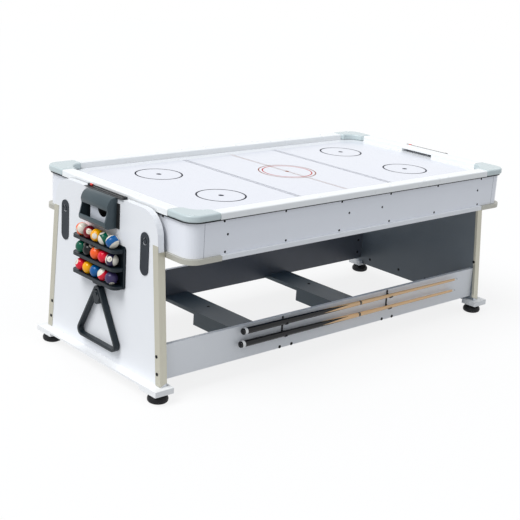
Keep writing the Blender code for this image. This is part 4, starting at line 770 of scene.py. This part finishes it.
def stand_screws():
    places = []
    for sign in (-1, 1):
        places += [((x, sign * STRETCHER_OUT, CLIP_SCREW_Z), (0, sign, 0)) for x in CLIP_SCREWS_X]
        places += [((end * STRETCHER_END_X, sign * STRETCHER_IN, z), (0, -sign, 0))
                   for end in (-1, 1) for z in STRETCHER_END_Z]
        places += [((sign * LEG_IN, y, LEG_SCREW_Z), (-sign, 0, 0)) for y in LEG_SCREWS_Y]
        places += [((sign * BEAM_X + BEAM_SHIFT, y, BEAM_TOP), (0, 0, 1)) for y in BEAM_SCREWS_Y]
    return places


def trim_screws():
    """Two outside and one inside on each trim. It leans, so each height has its own place."""
    return [((a * x, b * y, z), (a * way, 0, 0)) for a in (-1, 1) for b in (-1, 1)
            for x, y, z, way in TRIM_SCREWS]


screws("apron_screws", "top", apron_screws())
screws("board_screws", "stand", stand_screws(), BIG_SCREW)
screws("trim_screws", "stand", trim_screws(), BIG_SCREW)

# %% [markdown]
# A cue is one long taper: rubber bumper, white ring, black lacquered butt with four points, maple
# shaft, joint ring and ferrule. One turned mesh carries a finish that reads the place along the
# cue. The points of the splice come from a zigzag of the angle round the cue.

# %% Cues
CUE_Y = -0.434
SPLICE_START, SPLICE_END = -0.130, 0.050
JOINT_X = 0.119
FERRULE_LENGTH = 0.022
BUTT_RADIUS, TIP_RADIUS = 0.015, 0.006
POINT_ANGLE = math.pi / 4
LACQUER = (0.004, 0.005, 0.007)
MAPLE = (0.96, 0.66, 0.38)
MAPLE_LINE = (0.86, 0.53, 0.26)


def band(tree, x, low, high):
    """1 between two places along the cue."""
    return calculate(tree, "COMPARE", x, (low + high) / 2, (high - low) / 2)


def cue_finish(name, butt_x, tip_x, middle_z):
    material, tree, shader = finish(name, MAPLE, 0.22, specular=0.3, coat=0.1, coat_roughness=0.08)
    x = axis_of(tree, 0)
    wood = mixed(tree, noise(tree, 160.0, (0.03, 1, 1), detail=6.0), MAPLE, MAPLE_LINE)
    across = calculate(tree, "SUBTRACT", axis_of(tree, 1), CUE_Y)
    up = calculate(tree, "SUBTRACT", axis_of(tree, 2), middle_z)
    angle = calculate(tree, "ADD", calculate(tree, "ARCTAN2", across, up), math.pi)
    zigzag = calculate(tree, "PINGPONG", angle, POINT_ANGLE)
    reach = calculate(tree, "MULTIPLY", zigzag, (SPLICE_END - SPLICE_START) / POINT_ANGLE)
    black = calculate(tree, "LESS_THAN", x, calculate(tree, "ADD", reach, SPLICE_START))
    colour = mixed(tree, black, wood, LACQUER)
    # Joint collar and its ring, butt ring, ferrule and leather tip
    for low, high, shade in ((JOINT_X - 0.001, JOINT_X + 0.012, (0.012, 0.012, 0.012)),
                             (JOINT_X + 0.0048, JOINT_X + 0.0062, (0.62, 0.55, 0.42)),
                             (butt_x + 0.009, butt_x + 0.024, (0.90, 0.90, 0.89)),
                             (tip_x - FERRULE_LENGTH, tip_x, (0.86, 0.86, 0.84)),
                             (tip_x - 0.005, tip_x + 0.01, (0.16, 0.20, 0.30))):
        colour = mixed(tree, band(tree, x, low, high), colour, shade)
    dress(tree, shader, colour, noise(tree, 120.0, (0.1, 1, 1), detail=3.0), 0.14, 0.22)
    return material


def cue(name):
    """A taper through sections that lean a little, because the thin end rests as low as the butt."""
    low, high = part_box(name)
    length = high.x - low.x
    butt_z, tip_z = high.z - BUTT_RADIUS, low.z + TIP_RADIUS
    profile = [(0, 0), (0.0095, 0), (0.0122, 0.0012), (0.0145, 0.004), (0.0149, 0.0085),
               (BUTT_RADIUS, 0.0090), (0.0132, 0.40), (0.0106, 0.742), (0.0107, 0.748),
               (0.0105, 0.754), (0.0080, 1.05), (0.0062, length - 0.024),
               (TIP_RADIUS, length - 0.006), (0.0056, length - 0.002), (0.0040, length), (0, length)]
    points, faces = lathe(profile, (low.x, CUE_Y, 0), "X", 32)
    leaned = [point + Vector((0, 0, butt_z + (tip_z - butt_z) * (point.x - low.x) / length))
              for point in points]
    material = cue_finish(name + "_lacquer", low.x, high.x, (butt_z + tip_z) / 2)
    piece = mesh_piece(name + "_turned", leaned, faces, material, name, "cue_maple", angle=50)
    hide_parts(name)
    print(name, round(length, 3), "m")


cue("upper_cue")
cue("lower_cue")

# %% [markdown]
# Fifteen balls lie in three trays. A cast ball is one resin all through: a solid has a white spot
# with its number, a stripe is white with a coloured belt. The finish measures how far a point
# looks along the spot's direction or along the belt's axis, and the figures are lettering wrapped
# on the ball.

# %% Pool balls
BALL_RADIUS = 0.028575
IVORY = (0.80, 0.76, 0.66)
BALL_X = middle_of("middle_balls").x
BALL_PITCH = 0.0575
SPOT_EDGE, BELT_EDGE = 0.90, 0.52
FIGURE_SIZE, FIGURE_LIFT = 0.0145, 0.0001
TIER_Z = {tier: middle_of(tier).z for tier in ("upper_balls", "middle_balls", "lower_balls")}
PAINTS = {"orange": (1.0, 0.13, 0.02), "maroon": (0.22, 0.006, 0.014), "yellow": (1.0, 0.44, 0.0),
          "green": (0.0, 0.11, 0.062), "blue": (0.0, 0.105, 0.34), "black": (0.003, 0.004, 0.005),
          "red": (0.80, 0.006, 0.035), "plum": (0.028, 0.022, 0.075), "purple": (0.05, 0.036, 0.115)}


def looking(right, up, toward):
    """A direction given as the viewer sees it, turned to the table's own axes."""
    return (CAMERA_RIGHT * right + CAMERA_UP * up + TOWARD_CAMERA * toward).normalized()


# Each ball: paint, number, direction of the number, and axis of the belt for a stripe
BALLS = {
    "upper_balls": [
        ("orange", 13, (-1, -0.2, 0.2), (0.35, 0.1, 1)), ("maroon", 7, (0.05, 0.05, 1)),
        ("yellow", 1, (-0.3, -0.15, 1.0)), ("green", 14, (0.3, 0.9, 0.1), (-0.85, -0.45, 0.25)),
        ("blue", 10, (-0.2, 0.95, -0.3), (0.6, -0.75, 0.25))],
    "middle_balls": [
        ("green", 6, (0.75, 0.25, 0.65)), ("black", 8, (0.45, 0.6, 0.6)),
        ("orange", 5, (0.1, 0.9, 0.5)), ("red", 3, (0.4, -0.9, -0.6)),
        ("plum", 12, (-0.25, 0.15, 1), (1, -0.15, 0.3))],
    "lower_balls": [
        ("red", 2, (-0.75, 0.35, 0.6)), ("yellow", 9, (0.6, -0.9, -0.4)),
        ("blue", 4, (0.7, 0.9, -0.4)), ("red", 11, (0.85, 0.55, 0.25), (-0.55, 0.6, 0.35)),
        ("purple", 15, (0.1, -0.95, 0.45))],
}


def resin(name, paint, spot, belt):
    """Colour all through, with ivory at the poles of a belt and at the number's spot."""
    material, tree, shader = finish(name, paint, 0.09, specular=0.22, coat=0.08)
    colour = mixed(tree, noise(tree, 70.0, detail=4.0), paint, clouded(paint, 0.88))

    def share_along(direction):
        inputs = {0: shaded_point(tree), 1: direction / BALL_RADIUS}
        return add_node(tree, "VectorMath", inputs, "Value", "DOT_PRODUCT")

    if belt:
        belt_mask = calculate(tree, "COMPARE", share_along(belt), 0.0, BELT_EDGE)
        colour = mixed(tree, belt_mask, IVORY, colour)
    spot_mask = calculate(tree, "GREATER_THAN", share_along(spot), SPOT_EDGE)
    colour = mixed(tree, spot_mask, colour, IVORY)
    dress(tree, shader, colour, noise(tree, 150.0, detail=3.0), 0.05, 0.12)
    return material


def round_mesh(cuts=7):
    """A ball from a cube: its faces are cut in a grid and every point pushed out to the radius."""
    shape = bmesh.new()
    bmesh.ops.create_cube(shape, size=2.0)
    bmesh.ops.subdivide_edges(shape, edges=shape.edges, cuts=cuts, use_grid_fill=True)
    for corner in shape.verts:
        outward = Vector([math.tan(value * math.pi / 4) for value in corner.co]).normalized()
        corner.co = outward * BALL_RADIUS
    mesh = mesh_from(shape, "ball")
    mesh.shade_smooth()
    return mesh


FIGURE_BLACK = moulded("figure_black", (0.01, 0.01, 0.01), (0.02, 0.02, 0.02), 0.2, 900.0)


def figure(number, centre, spot, body):
    """The number's outline, as letters, wrapped on the ball at its white spot."""
    letters = bpy.data.curves.new("figure", "FONT")
    letters.body = str(number)
    letters.size = FIGURE_SIZE
    letters.align_x, letters.align_y = "CENTER", "CENTER"
    holder = bpy.data.objects.new("figure", letters)
    mesh = bpy.data.meshes.new_from_object(holder)
    bpy.data.objects.remove(holder)
    across = Vector((0, 0, 1)).cross(spot).normalized()
    upward = spot.cross(across)
    for corner in mesh.vertices:
        flat = spot * BALL_RADIUS + across * corner.co.x + upward * corner.co.y
        corner.co = flat.normalized() * (BALL_RADIUS + FIGURE_LIFT)
    mesh.materials.clear()
    mesh.materials.append(FIGURE_BLACK)
    placed(f"{body}_figure_{number}", mesh, body, centre)


def balls(tier):
    for index, (paint, number, *directions) in enumerate(BALLS[tier]):
        centre = Vector((BALL_X, BALL_PITCH * (2 - index), TIER_Z[tier]))
        spot, belt = ([looking(*direction) for direction in directions] + [None])[:2]
        if belt:
            spot = (spot - belt * spot.dot(belt)).normalized()
        mesh = round_mesh()
        mesh.materials.append(resin(f"{tier}_{number}_resin", PAINTS[paint], spot, belt))
        piece = placed(f"{tier}_{number}", mesh, tier, centre)
        if index == 0:
            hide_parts(tier)
        figure(number, centre, spot, tier)
    print(tier, "balls at height", round(TIER_Z[tier], 4))


for tier in BALLS:
    balls(tier)

# %% [markdown]
# The goal box is a moulded hood over a wide mouth. Its side view is a smooth curve, so a few
# points are joined by a rounded spline. The shell is cut from the solid form with Booleans: first
# the hollow, then the mouth. A pale grey plate inside, with a square and a round window, shows
# between the two dark openings; its grey is painted shade, white as it looks inside the box. Behind
# them a near-black back sheet is painted shade too, the dark inside of the box.

# %% Goal boxes
LEG_OUT = abs(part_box("left_leg_panel")[0].x)
LEG_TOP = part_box("left_leg_panel")[1].z
GOAL_LOW = 0.6700
GOAL_HEIGHT = 0.1330
GOAL_REACH = 0.0605
GOAL_HALF = 0.100
GOAL_START = LEG_OUT + 0.0003
GOAL_SHARES = ((0.28, 1.0), (0.52, 0.965), (0.72, 0.87), (0.84, 0.72), (0.80, 0.60), (0.79, 0.54),
               (0.90, 0.33), (1.0, 0.16), (0.95, 0.055), (0.78, 0.0))
HOOD_WALL = 0.003
HOLLOW_REACH = 0.004
# Boxes: near and far from the middle of the table, then the low and the high corner as (y, z)
MOUTH = (GOAL_START + 0.030, GOAL_START + 0.075, (-0.092, 0.699), (0.094, 0.7475))
PLATE = (GOAL_START + 0.034, GOAL_START + 0.0375, (-0.0965, 0.684), (0.046, 0.764))
BACK = (GOAL_START, GOAL_START + 0.004, (-0.119, 0.6715), (0.1235, 0.779))
WINDOW_CENTRE = (-0.045, 0.7475)
WINDOW_RADIUS = 0.036
# Pale grey plate: painted shade, a white surface as it looks inside the box
SHADED_WHITE_PLATE = moulded("goal_plate_painted_shade", (0.50, 0.53, 0.58), (0.46, 0.49, 0.54), 0.35, 500.0)
# Near-black painted shade for the inside of the goal box, on the back sheet behind the openings
SHADE_BLACK_INSIDE = moulded("goal_inside_painted_shade", (0.004, 0.005, 0.006), (0.006, 0.007, 0.008), 0.6, 300.0)


def smooth_curve(points, steps=5):
    """A rounded spline through the points, which keeps the first and last one."""
    padded = [points[0]] + list(points) + [points[-1]]
    smooth = []
    for p0, p1, p2, p3 in zip(padded, padded[1:], padded[2:], padded[3:]):
        for i in range(steps):
            t = i / steps
            smooth.append(tuple(0.5 * (2 * b + (c - a) * t + (2 * a - 5 * b + 4 * c - d) * t * t
                                       + (3 * b - a - 3 * c + d) * t ** 3)
                                for a, b, c, d in zip(p0, p1, p2, p3)))
    return smooth + [points[-1]]


def goal_outline(sign, inset):
    curve = [(0.0, 1.0)] + smooth_curve(GOAL_SHARES) + [(0.0, 0.0)]
    points = [(sign * (GOAL_START + (GOAL_REACH - inset) * reach),
               GOAL_LOW + inset + (GOAL_HEIGHT - 2 * inset) * height) for reach, height in curve]
    if inset:
        back = sign * (GOAL_START - HOLLOW_REACH)
        points = [(back, points[0][1])] + points + [(back, points[-1][1])]
    return points


def worked_in(thing):
    """The mesh of an object with its modifiers or its bevel worked in."""
    finished = thing.evaluated_get(bpy.context.evaluated_depsgraph_get())
    return bpy.data.meshes.new_from_object(finished)


def carve(piece, forms, *edge):
    """Cuts closed forms out of a piece, rounds its edges, and keeps only the resulting mesh."""
    cutters = [mesh_piece(f"{piece.name}_cutter_{number}", *form, SHADE_BLACK_INSIDE)
               for number, form in enumerate(forms)]
    for cutter in cutters:
        modifier = piece.modifiers.new(cutter.name, "BOOLEAN")
        modifier.operation = "DIFFERENCE"
        modifier.object = cutter
    soften(piece, *edge)
    mesh = worked_in(piece)
    piece.modifiers.clear()
    piece.data = mesh
    for cutter in cutters:
        bpy.data.objects.remove(cutter, do_unlink=True)


def side_box(sign, near, far, low, high):
    """A box between two distances from the middle, on one side of the table."""
    first, last = sorted((sign * near, sign * far))
    outline = [(first, low[0]), (last, low[0]), (last, high[0]), (first, high[0])]
    return slab(outline, low[1], high[1])


def goal_box(side, sign):
    form = slab(goal_outline(sign, 0.0), -GOAL_HALF, GOAL_HALF, "Y")
    hood = mesh_piece(f"{side}_goal_hood", *form, CHARCOAL)
    hollow = slab(goal_outline(sign, HOOD_WALL), HOOD_WALL - GOAL_HALF, GOAL_HALF - HOOD_WALL, "Y")
    carve(hood, (hollow, side_box(sign, *MOUTH)), 0.0016, 3, 40)
    hood.data.shade_smooth()
    hood.data.set_sharp_from_angle(angle=math.radians(40))
    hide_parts(f"{side}_goal_box")
    plate = mesh_piece(f"{side}_goal_plate", *side_box(sign, *PLATE), SHADED_WHITE_PLATE)
    reach = sorted((sign * (PLATE[0] - 0.01), sign * (PLATE[1] + 0.01)))
    half_round = slab(arc(WINDOW_CENTRE, WINDOW_RADIUS, 180, 360, 20), *reach, "X")
    carve(plate, (half_round,), 0.0012, 2, 50)
    # Back sheet in painted shade: the dark inside of the box, seen through the openings
    mesh_piece(f"{side}_goal_back", *side_box(sign, *BACK), SHADE_BLACK_INSIDE)


def score_bar(side, sign):
    """Strip, rod and two looped clips along the top edge of the leg."""
    middle = (LEG_IN + LEG_OUT) / 2
    low = LEG_TOP + 0.0003
    form = side_box(sign, middle - 0.007, LEG_OUT + 0.008, (-0.143, low), (0.143, low + 0.003))
    soften(mesh_piece(f"{side}_score_strip", *form, SCORE_BLACK), 0.0008)
    profile = [(0, -0.134), (0.0028, -0.134), (0.0028, 0.134), (0, 0.134)]
    rod = lathe(profile, (sign * middle, 0, low + 0.0085), "Y", 20)
    mesh_piece(f"{side}_score_rod", *rod, SCORE_BLACK)
    outline = rounded_rectangle((0.0062, 0.0058), 0.004, 5, (sign * middle, low + 0.0064))
    for place, y0, y1 in (("right", -0.142, -0.125), ("left", 0.125, 0.142)):
        form = slab(outline, y0, y1, "Y")
        soften(mesh_piece(f"{side}_score_clip_{place}", *form, SCORE_BLACK), 0.0012)


for side, sign in SIDES.items():
    goal_box(side, sign)
    score_bar(side, sign)
print("goal box reaches", round(GOAL_START + GOAL_REACH, 4))

# %% [markdown]
# The rack's plate has a raised rim down both sides, and each tray a rolled front lip. Both are
# rounded bars that follow the tray's own outline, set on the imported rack, which stays as it is.

# %% Ball rack rims
RACK_REACH = abs(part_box("ball_rack")[0].x)
RACK_FACE = LEG_OUT + 0.0033
RACK_HALF = 0.172
RACK_TOP = 0.606
RACK_BOTTOM = 0.418
RIM_RADIUS, LIP_RADIUS = 0.0042, 0.0016
TRAY_HALF, TRAY_CORNER, TRAY_DROP = 0.165, 0.026, 0.02712


def bar(name, path, radius):
    """A rounded black bar along a path, as a bevelled curve turned into a mesh."""
    curve = bpy.data.curves.new(name, "CURVE")
    curve.dimensions = "3D"
    curve.bevel_depth = radius
    curve.bevel_resolution = 3
    curve.use_fill_caps = True
    line = curve.splines.new("POLY")
    line.points.add(len(path) - 1)
    for point, place in zip(line.points, path):
        point.co = (*place, 1.0)
    holder = added(name, curve)
    mesh = worked_in(holder)
    bpy.data.objects.remove(holder, do_unlink=True)
    mesh.materials.clear()
    mesh.materials.append(RACK_BLACK)
    mesh.shade_smooth()
    placed(name, mesh, "stand")


def rack_rims():
    """Down each side of the back plate and round its lower corner."""
    x = -(RACK_FACE + 0.003)
    low = RACK_BOTTOM + 0.0045
    for end, sign in ENDS.items():
        side_y = sign * (RACK_HALF - 0.0045)
        corner = arc((side_y - sign * 0.012, low + 0.012), 0.012, 270, 360 if sign > 0 else 180, 5)
        path = [(sign * 0.03, low), *corner, (side_y, RACK_TOP - 0.006)]
        path = [(x, y, z) for y, z in path]
        bar(f"rack_rim_{end}", path, RIM_RADIUS)


def tray_lips():
    """A thin rolled lip on the front edge of each tray, following its round corners."""
    reach, half = RACK_REACH - LIP_RADIUS, TRAY_HALF - LIP_RADIUS
    for tier, z in TIER_Z.items():
        top = z - TRAY_DROP - 0.0003
        bend = arc((TRAY_CORNER - reach, half - TRAY_CORNER), TRAY_CORNER, 90, 180, 8)
        path = [(-(RACK_FACE + 0.002), half, top)] + [(x, y, top) for x, y in bend]
        path += [(x, -y, height) for x, y, height in reversed(path)]
        bar(f"{tier}_tray_lip", path, LIP_RADIUS)


rack_rims()
tray_lips()
print("rack rims done")

# %% [markdown]
# The ball triangle is a slim frame with well rounded corners. Its inside is the same triangle
# with every side moved in by the bar. It hangs on a black saddle under the rack that fills its
# upper corner.

# %% Ball triangle and its saddle
TRIANGLE_LOW, TRIANGLE_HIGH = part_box("ball_triangle")
TRIANGLE_LIFT = 0.013
TRIANGLE_BAR = 0.0135
SADDLE_HEIGHT = 0.062
SADDLE_SHOULDER = 0.030
SADDLE_TIP_HALF = 0.009


def moved_in(corners, distance):
    """The same triangle with its three sides moved inward."""
    turns = [turn_at(corners, index) for index in range(3)]
    return [here + inward * distance / math.sin(half) for here, _, inward, half in turns]


def ball_triangle():
    half, low, high = TRIANGLE_HIGH.y, TRIANGLE_LOW.z + TRIANGLE_LIFT, TRIANGLE_HIGH.z
    near, far = TRIANGLE_HIGH.x, TRIANGLE_LOW.x
    spread, apex = half + 0.012, high + 0.024
    corners = [(-spread, low), (spread, low), (0.0, apex)]
    inside = moved_in(corners, TRIANGLE_BAR)
    outer = filleted(corners, (0.030, 0.030, 0.024))
    inner = filleted(inside, (0.0175, 0.0175, 0.012))
    triangle = frame_ring("racking_triangle", outer, inner, near, far, RACK_BLACK,
                          "ball_triangle", "X")
    soften(triangle, 0.0025, 3)
    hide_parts("ball_triangle")
    print("triangle", round(low, 4), "to", round(high, 4))
    return inside


def triangle_saddle(inside):
    """Fills the triangle's upper corner, a little clear of its bars."""
    peak = inside[2].y
    top = peak - 0.0175
    tip, bend = top - SADDLE_HEIGHT, top - SADDLE_SHOULDER
    slope = (inside[1].x - inside[2].x) / (peak - inside[1].y)
    upper_half = (peak - top) * slope - 0.0012
    lower_half = (peak - bend) * slope - 0.0016
    corners = [(-SADDLE_TIP_HALF, tip), (SADDLE_TIP_HALF, tip), (lower_half, bend), (upper_half, top),
               (-upper_half, top), (-lower_half, bend)]
    outline = filleted(corners, (0.006, 0.006, 0.004, 0.003, 0.003, 0.004), 4)
    form = slab(outline, TRIANGLE_LOW.x - 0.0015, TRIANGLE_HIGH.x, "X")
    soften(mesh_piece("triangle_saddle", *form, RACK_BLACK), 0.0015)
    print("saddle", round(tip, 4), "to", round(top, 4))


triangle_saddle(ball_triangle())

# %% [markdown]
# Turned over, the table shows its pool side. The bed and the cushions wear blue cloth, which is
# napped wool: soft, with a sheen at grazing angles and a fine weave. The rails round it stay white
# laminate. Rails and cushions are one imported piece, so one finish picks cloth inside a rectangle
# and laminate outside it. Charcoal liners fill the pockets and small sights mark the rails.

# %% Pool side
CLOTH = (0.012, 0.115, 0.30)
CLOTH_NAP = (0.02, 0.15, 0.36)
CUSHION_X, CUSHION_Y = 0.9235, 0.4535
POOL_FACE = 0.618
WEAVE, WEAVE_DEPTH = 0.25, 0.0005
LINER_TOP = 0.657
SIGHT_RADIUS = 0.0048
SIGHT_STEP_X, SIGHT_STEP_Y, SIGHT_ROW_X, SIGHT_ROW_Y = 0.2338, 0.2325, 0.969, 0.499


def cloth_pattern(tree):
    """The weave's height, and the cloth's colour with its nap."""
    return noise(tree, 900.0), mixed(tree, noise(tree, 40.0, detail=5.0), CLOTH, CLOTH_NAP)


def pool_cloth():
    material, tree, shader = finish("pool_cloth", CLOTH, 0.9, specular=0.2)
    weave, colour = cloth_pattern(tree)
    feed(tree, shader, {"Base Color": colour, "Sheen Weight": 0.4})
    relief(tree, shader, weave, WEAVE, WEAVE_DEPTH)
    return material


def rail_and_cushion():
    """Laminate on the rails, cloth on the cushions inside them."""
    material, tree, shader = finish("rail_and_cushion", WHITE, 0.36)
    within = [calculate(tree, "COMPARE", axis_of(tree, index), 0.0, reach)
              for index, reach in enumerate((CUSHION_X, CUSHION_Y))]
    inside = calculate(tree, "MULTIPLY", *within)
    weave, colour = cloth_pattern(tree)
    white = mixed(tree, noise(tree, CLOUD_SCALE), WHITE, WHITE_CLOUD)
    dress(tree, shader, mixed(tree, inside, white, colour), inside, 0.36, 0.9)
    relief(tree, shader, calculate(tree, "MULTIPLY", weave, inside), WEAVE, WEAVE_DEPTH)
    return material


repaint(pool_cloth(), "pool_bed")
repaint(rail_and_cushion(), "pool_rail_frame")
POCKETS = {f"{place}_{end}": (x, 0.465 * sign, radius)
           for place, x, radius in (("left", -0.935, 0.045), ("right", 0.935, 0.045),
                                    ("middle", 0, 0.042))
           for end, sign in ENDS.items()}


def pocket_liners():
    for name, (x, y, radius) in POCKETS.items():
        low = POOL_FACE - (0.0055 if name.startswith("middle") else 0.0075)
        hole = radius * 0.975
        profile = [(hole - 0.0022, low + 0.0002), (hole - 0.0008, low - 0.0006), (hole, low + 0.0008),
                   (hole, LINER_TOP), (hole - 0.0022, LINER_TOP)]
        form = lathe(profile, (x, y, 0), "Z", 48)
        mesh_piece(f"{name}_pocket_liner", *form, CHARCOAL, "top", angle=50)


def rail_sights():
    """Small round sights let into the rails at eighths of the length and quarters of the width."""
    places = [(SIGHT_STEP_X * step, SIGHT_ROW_Y) for step in (-3, -2, -1, 1, 2, 3)]
    places = [(x, sign * y) for x, y in places for sign in (-1, 1)]
    places += [(sign * SIGHT_ROW_X, SIGHT_STEP_Y * step) for step in (-1, 0, 1) for sign in (-1, 1)]
    low, high = POOL_FACE - 0.0004, POOL_FACE + 0.0004
    profile = [(0, low), (0.0042, low), (SIGHT_RADIUS, high), (0, high)]
    for number, (x, y) in enumerate(places):
        mesh_piece(f"rail_sight_{number}", *lathe(profile, (x, y, 0), "Z", 20), CLIP_STEEL, "top")


pocket_liners()
rail_sights()
print("pool face", round(POOL_FACE, 4))

# %% [markdown]
# The last line brings the view layer up to date.

# %% Update the scene
bpy.context.view_layer.update()
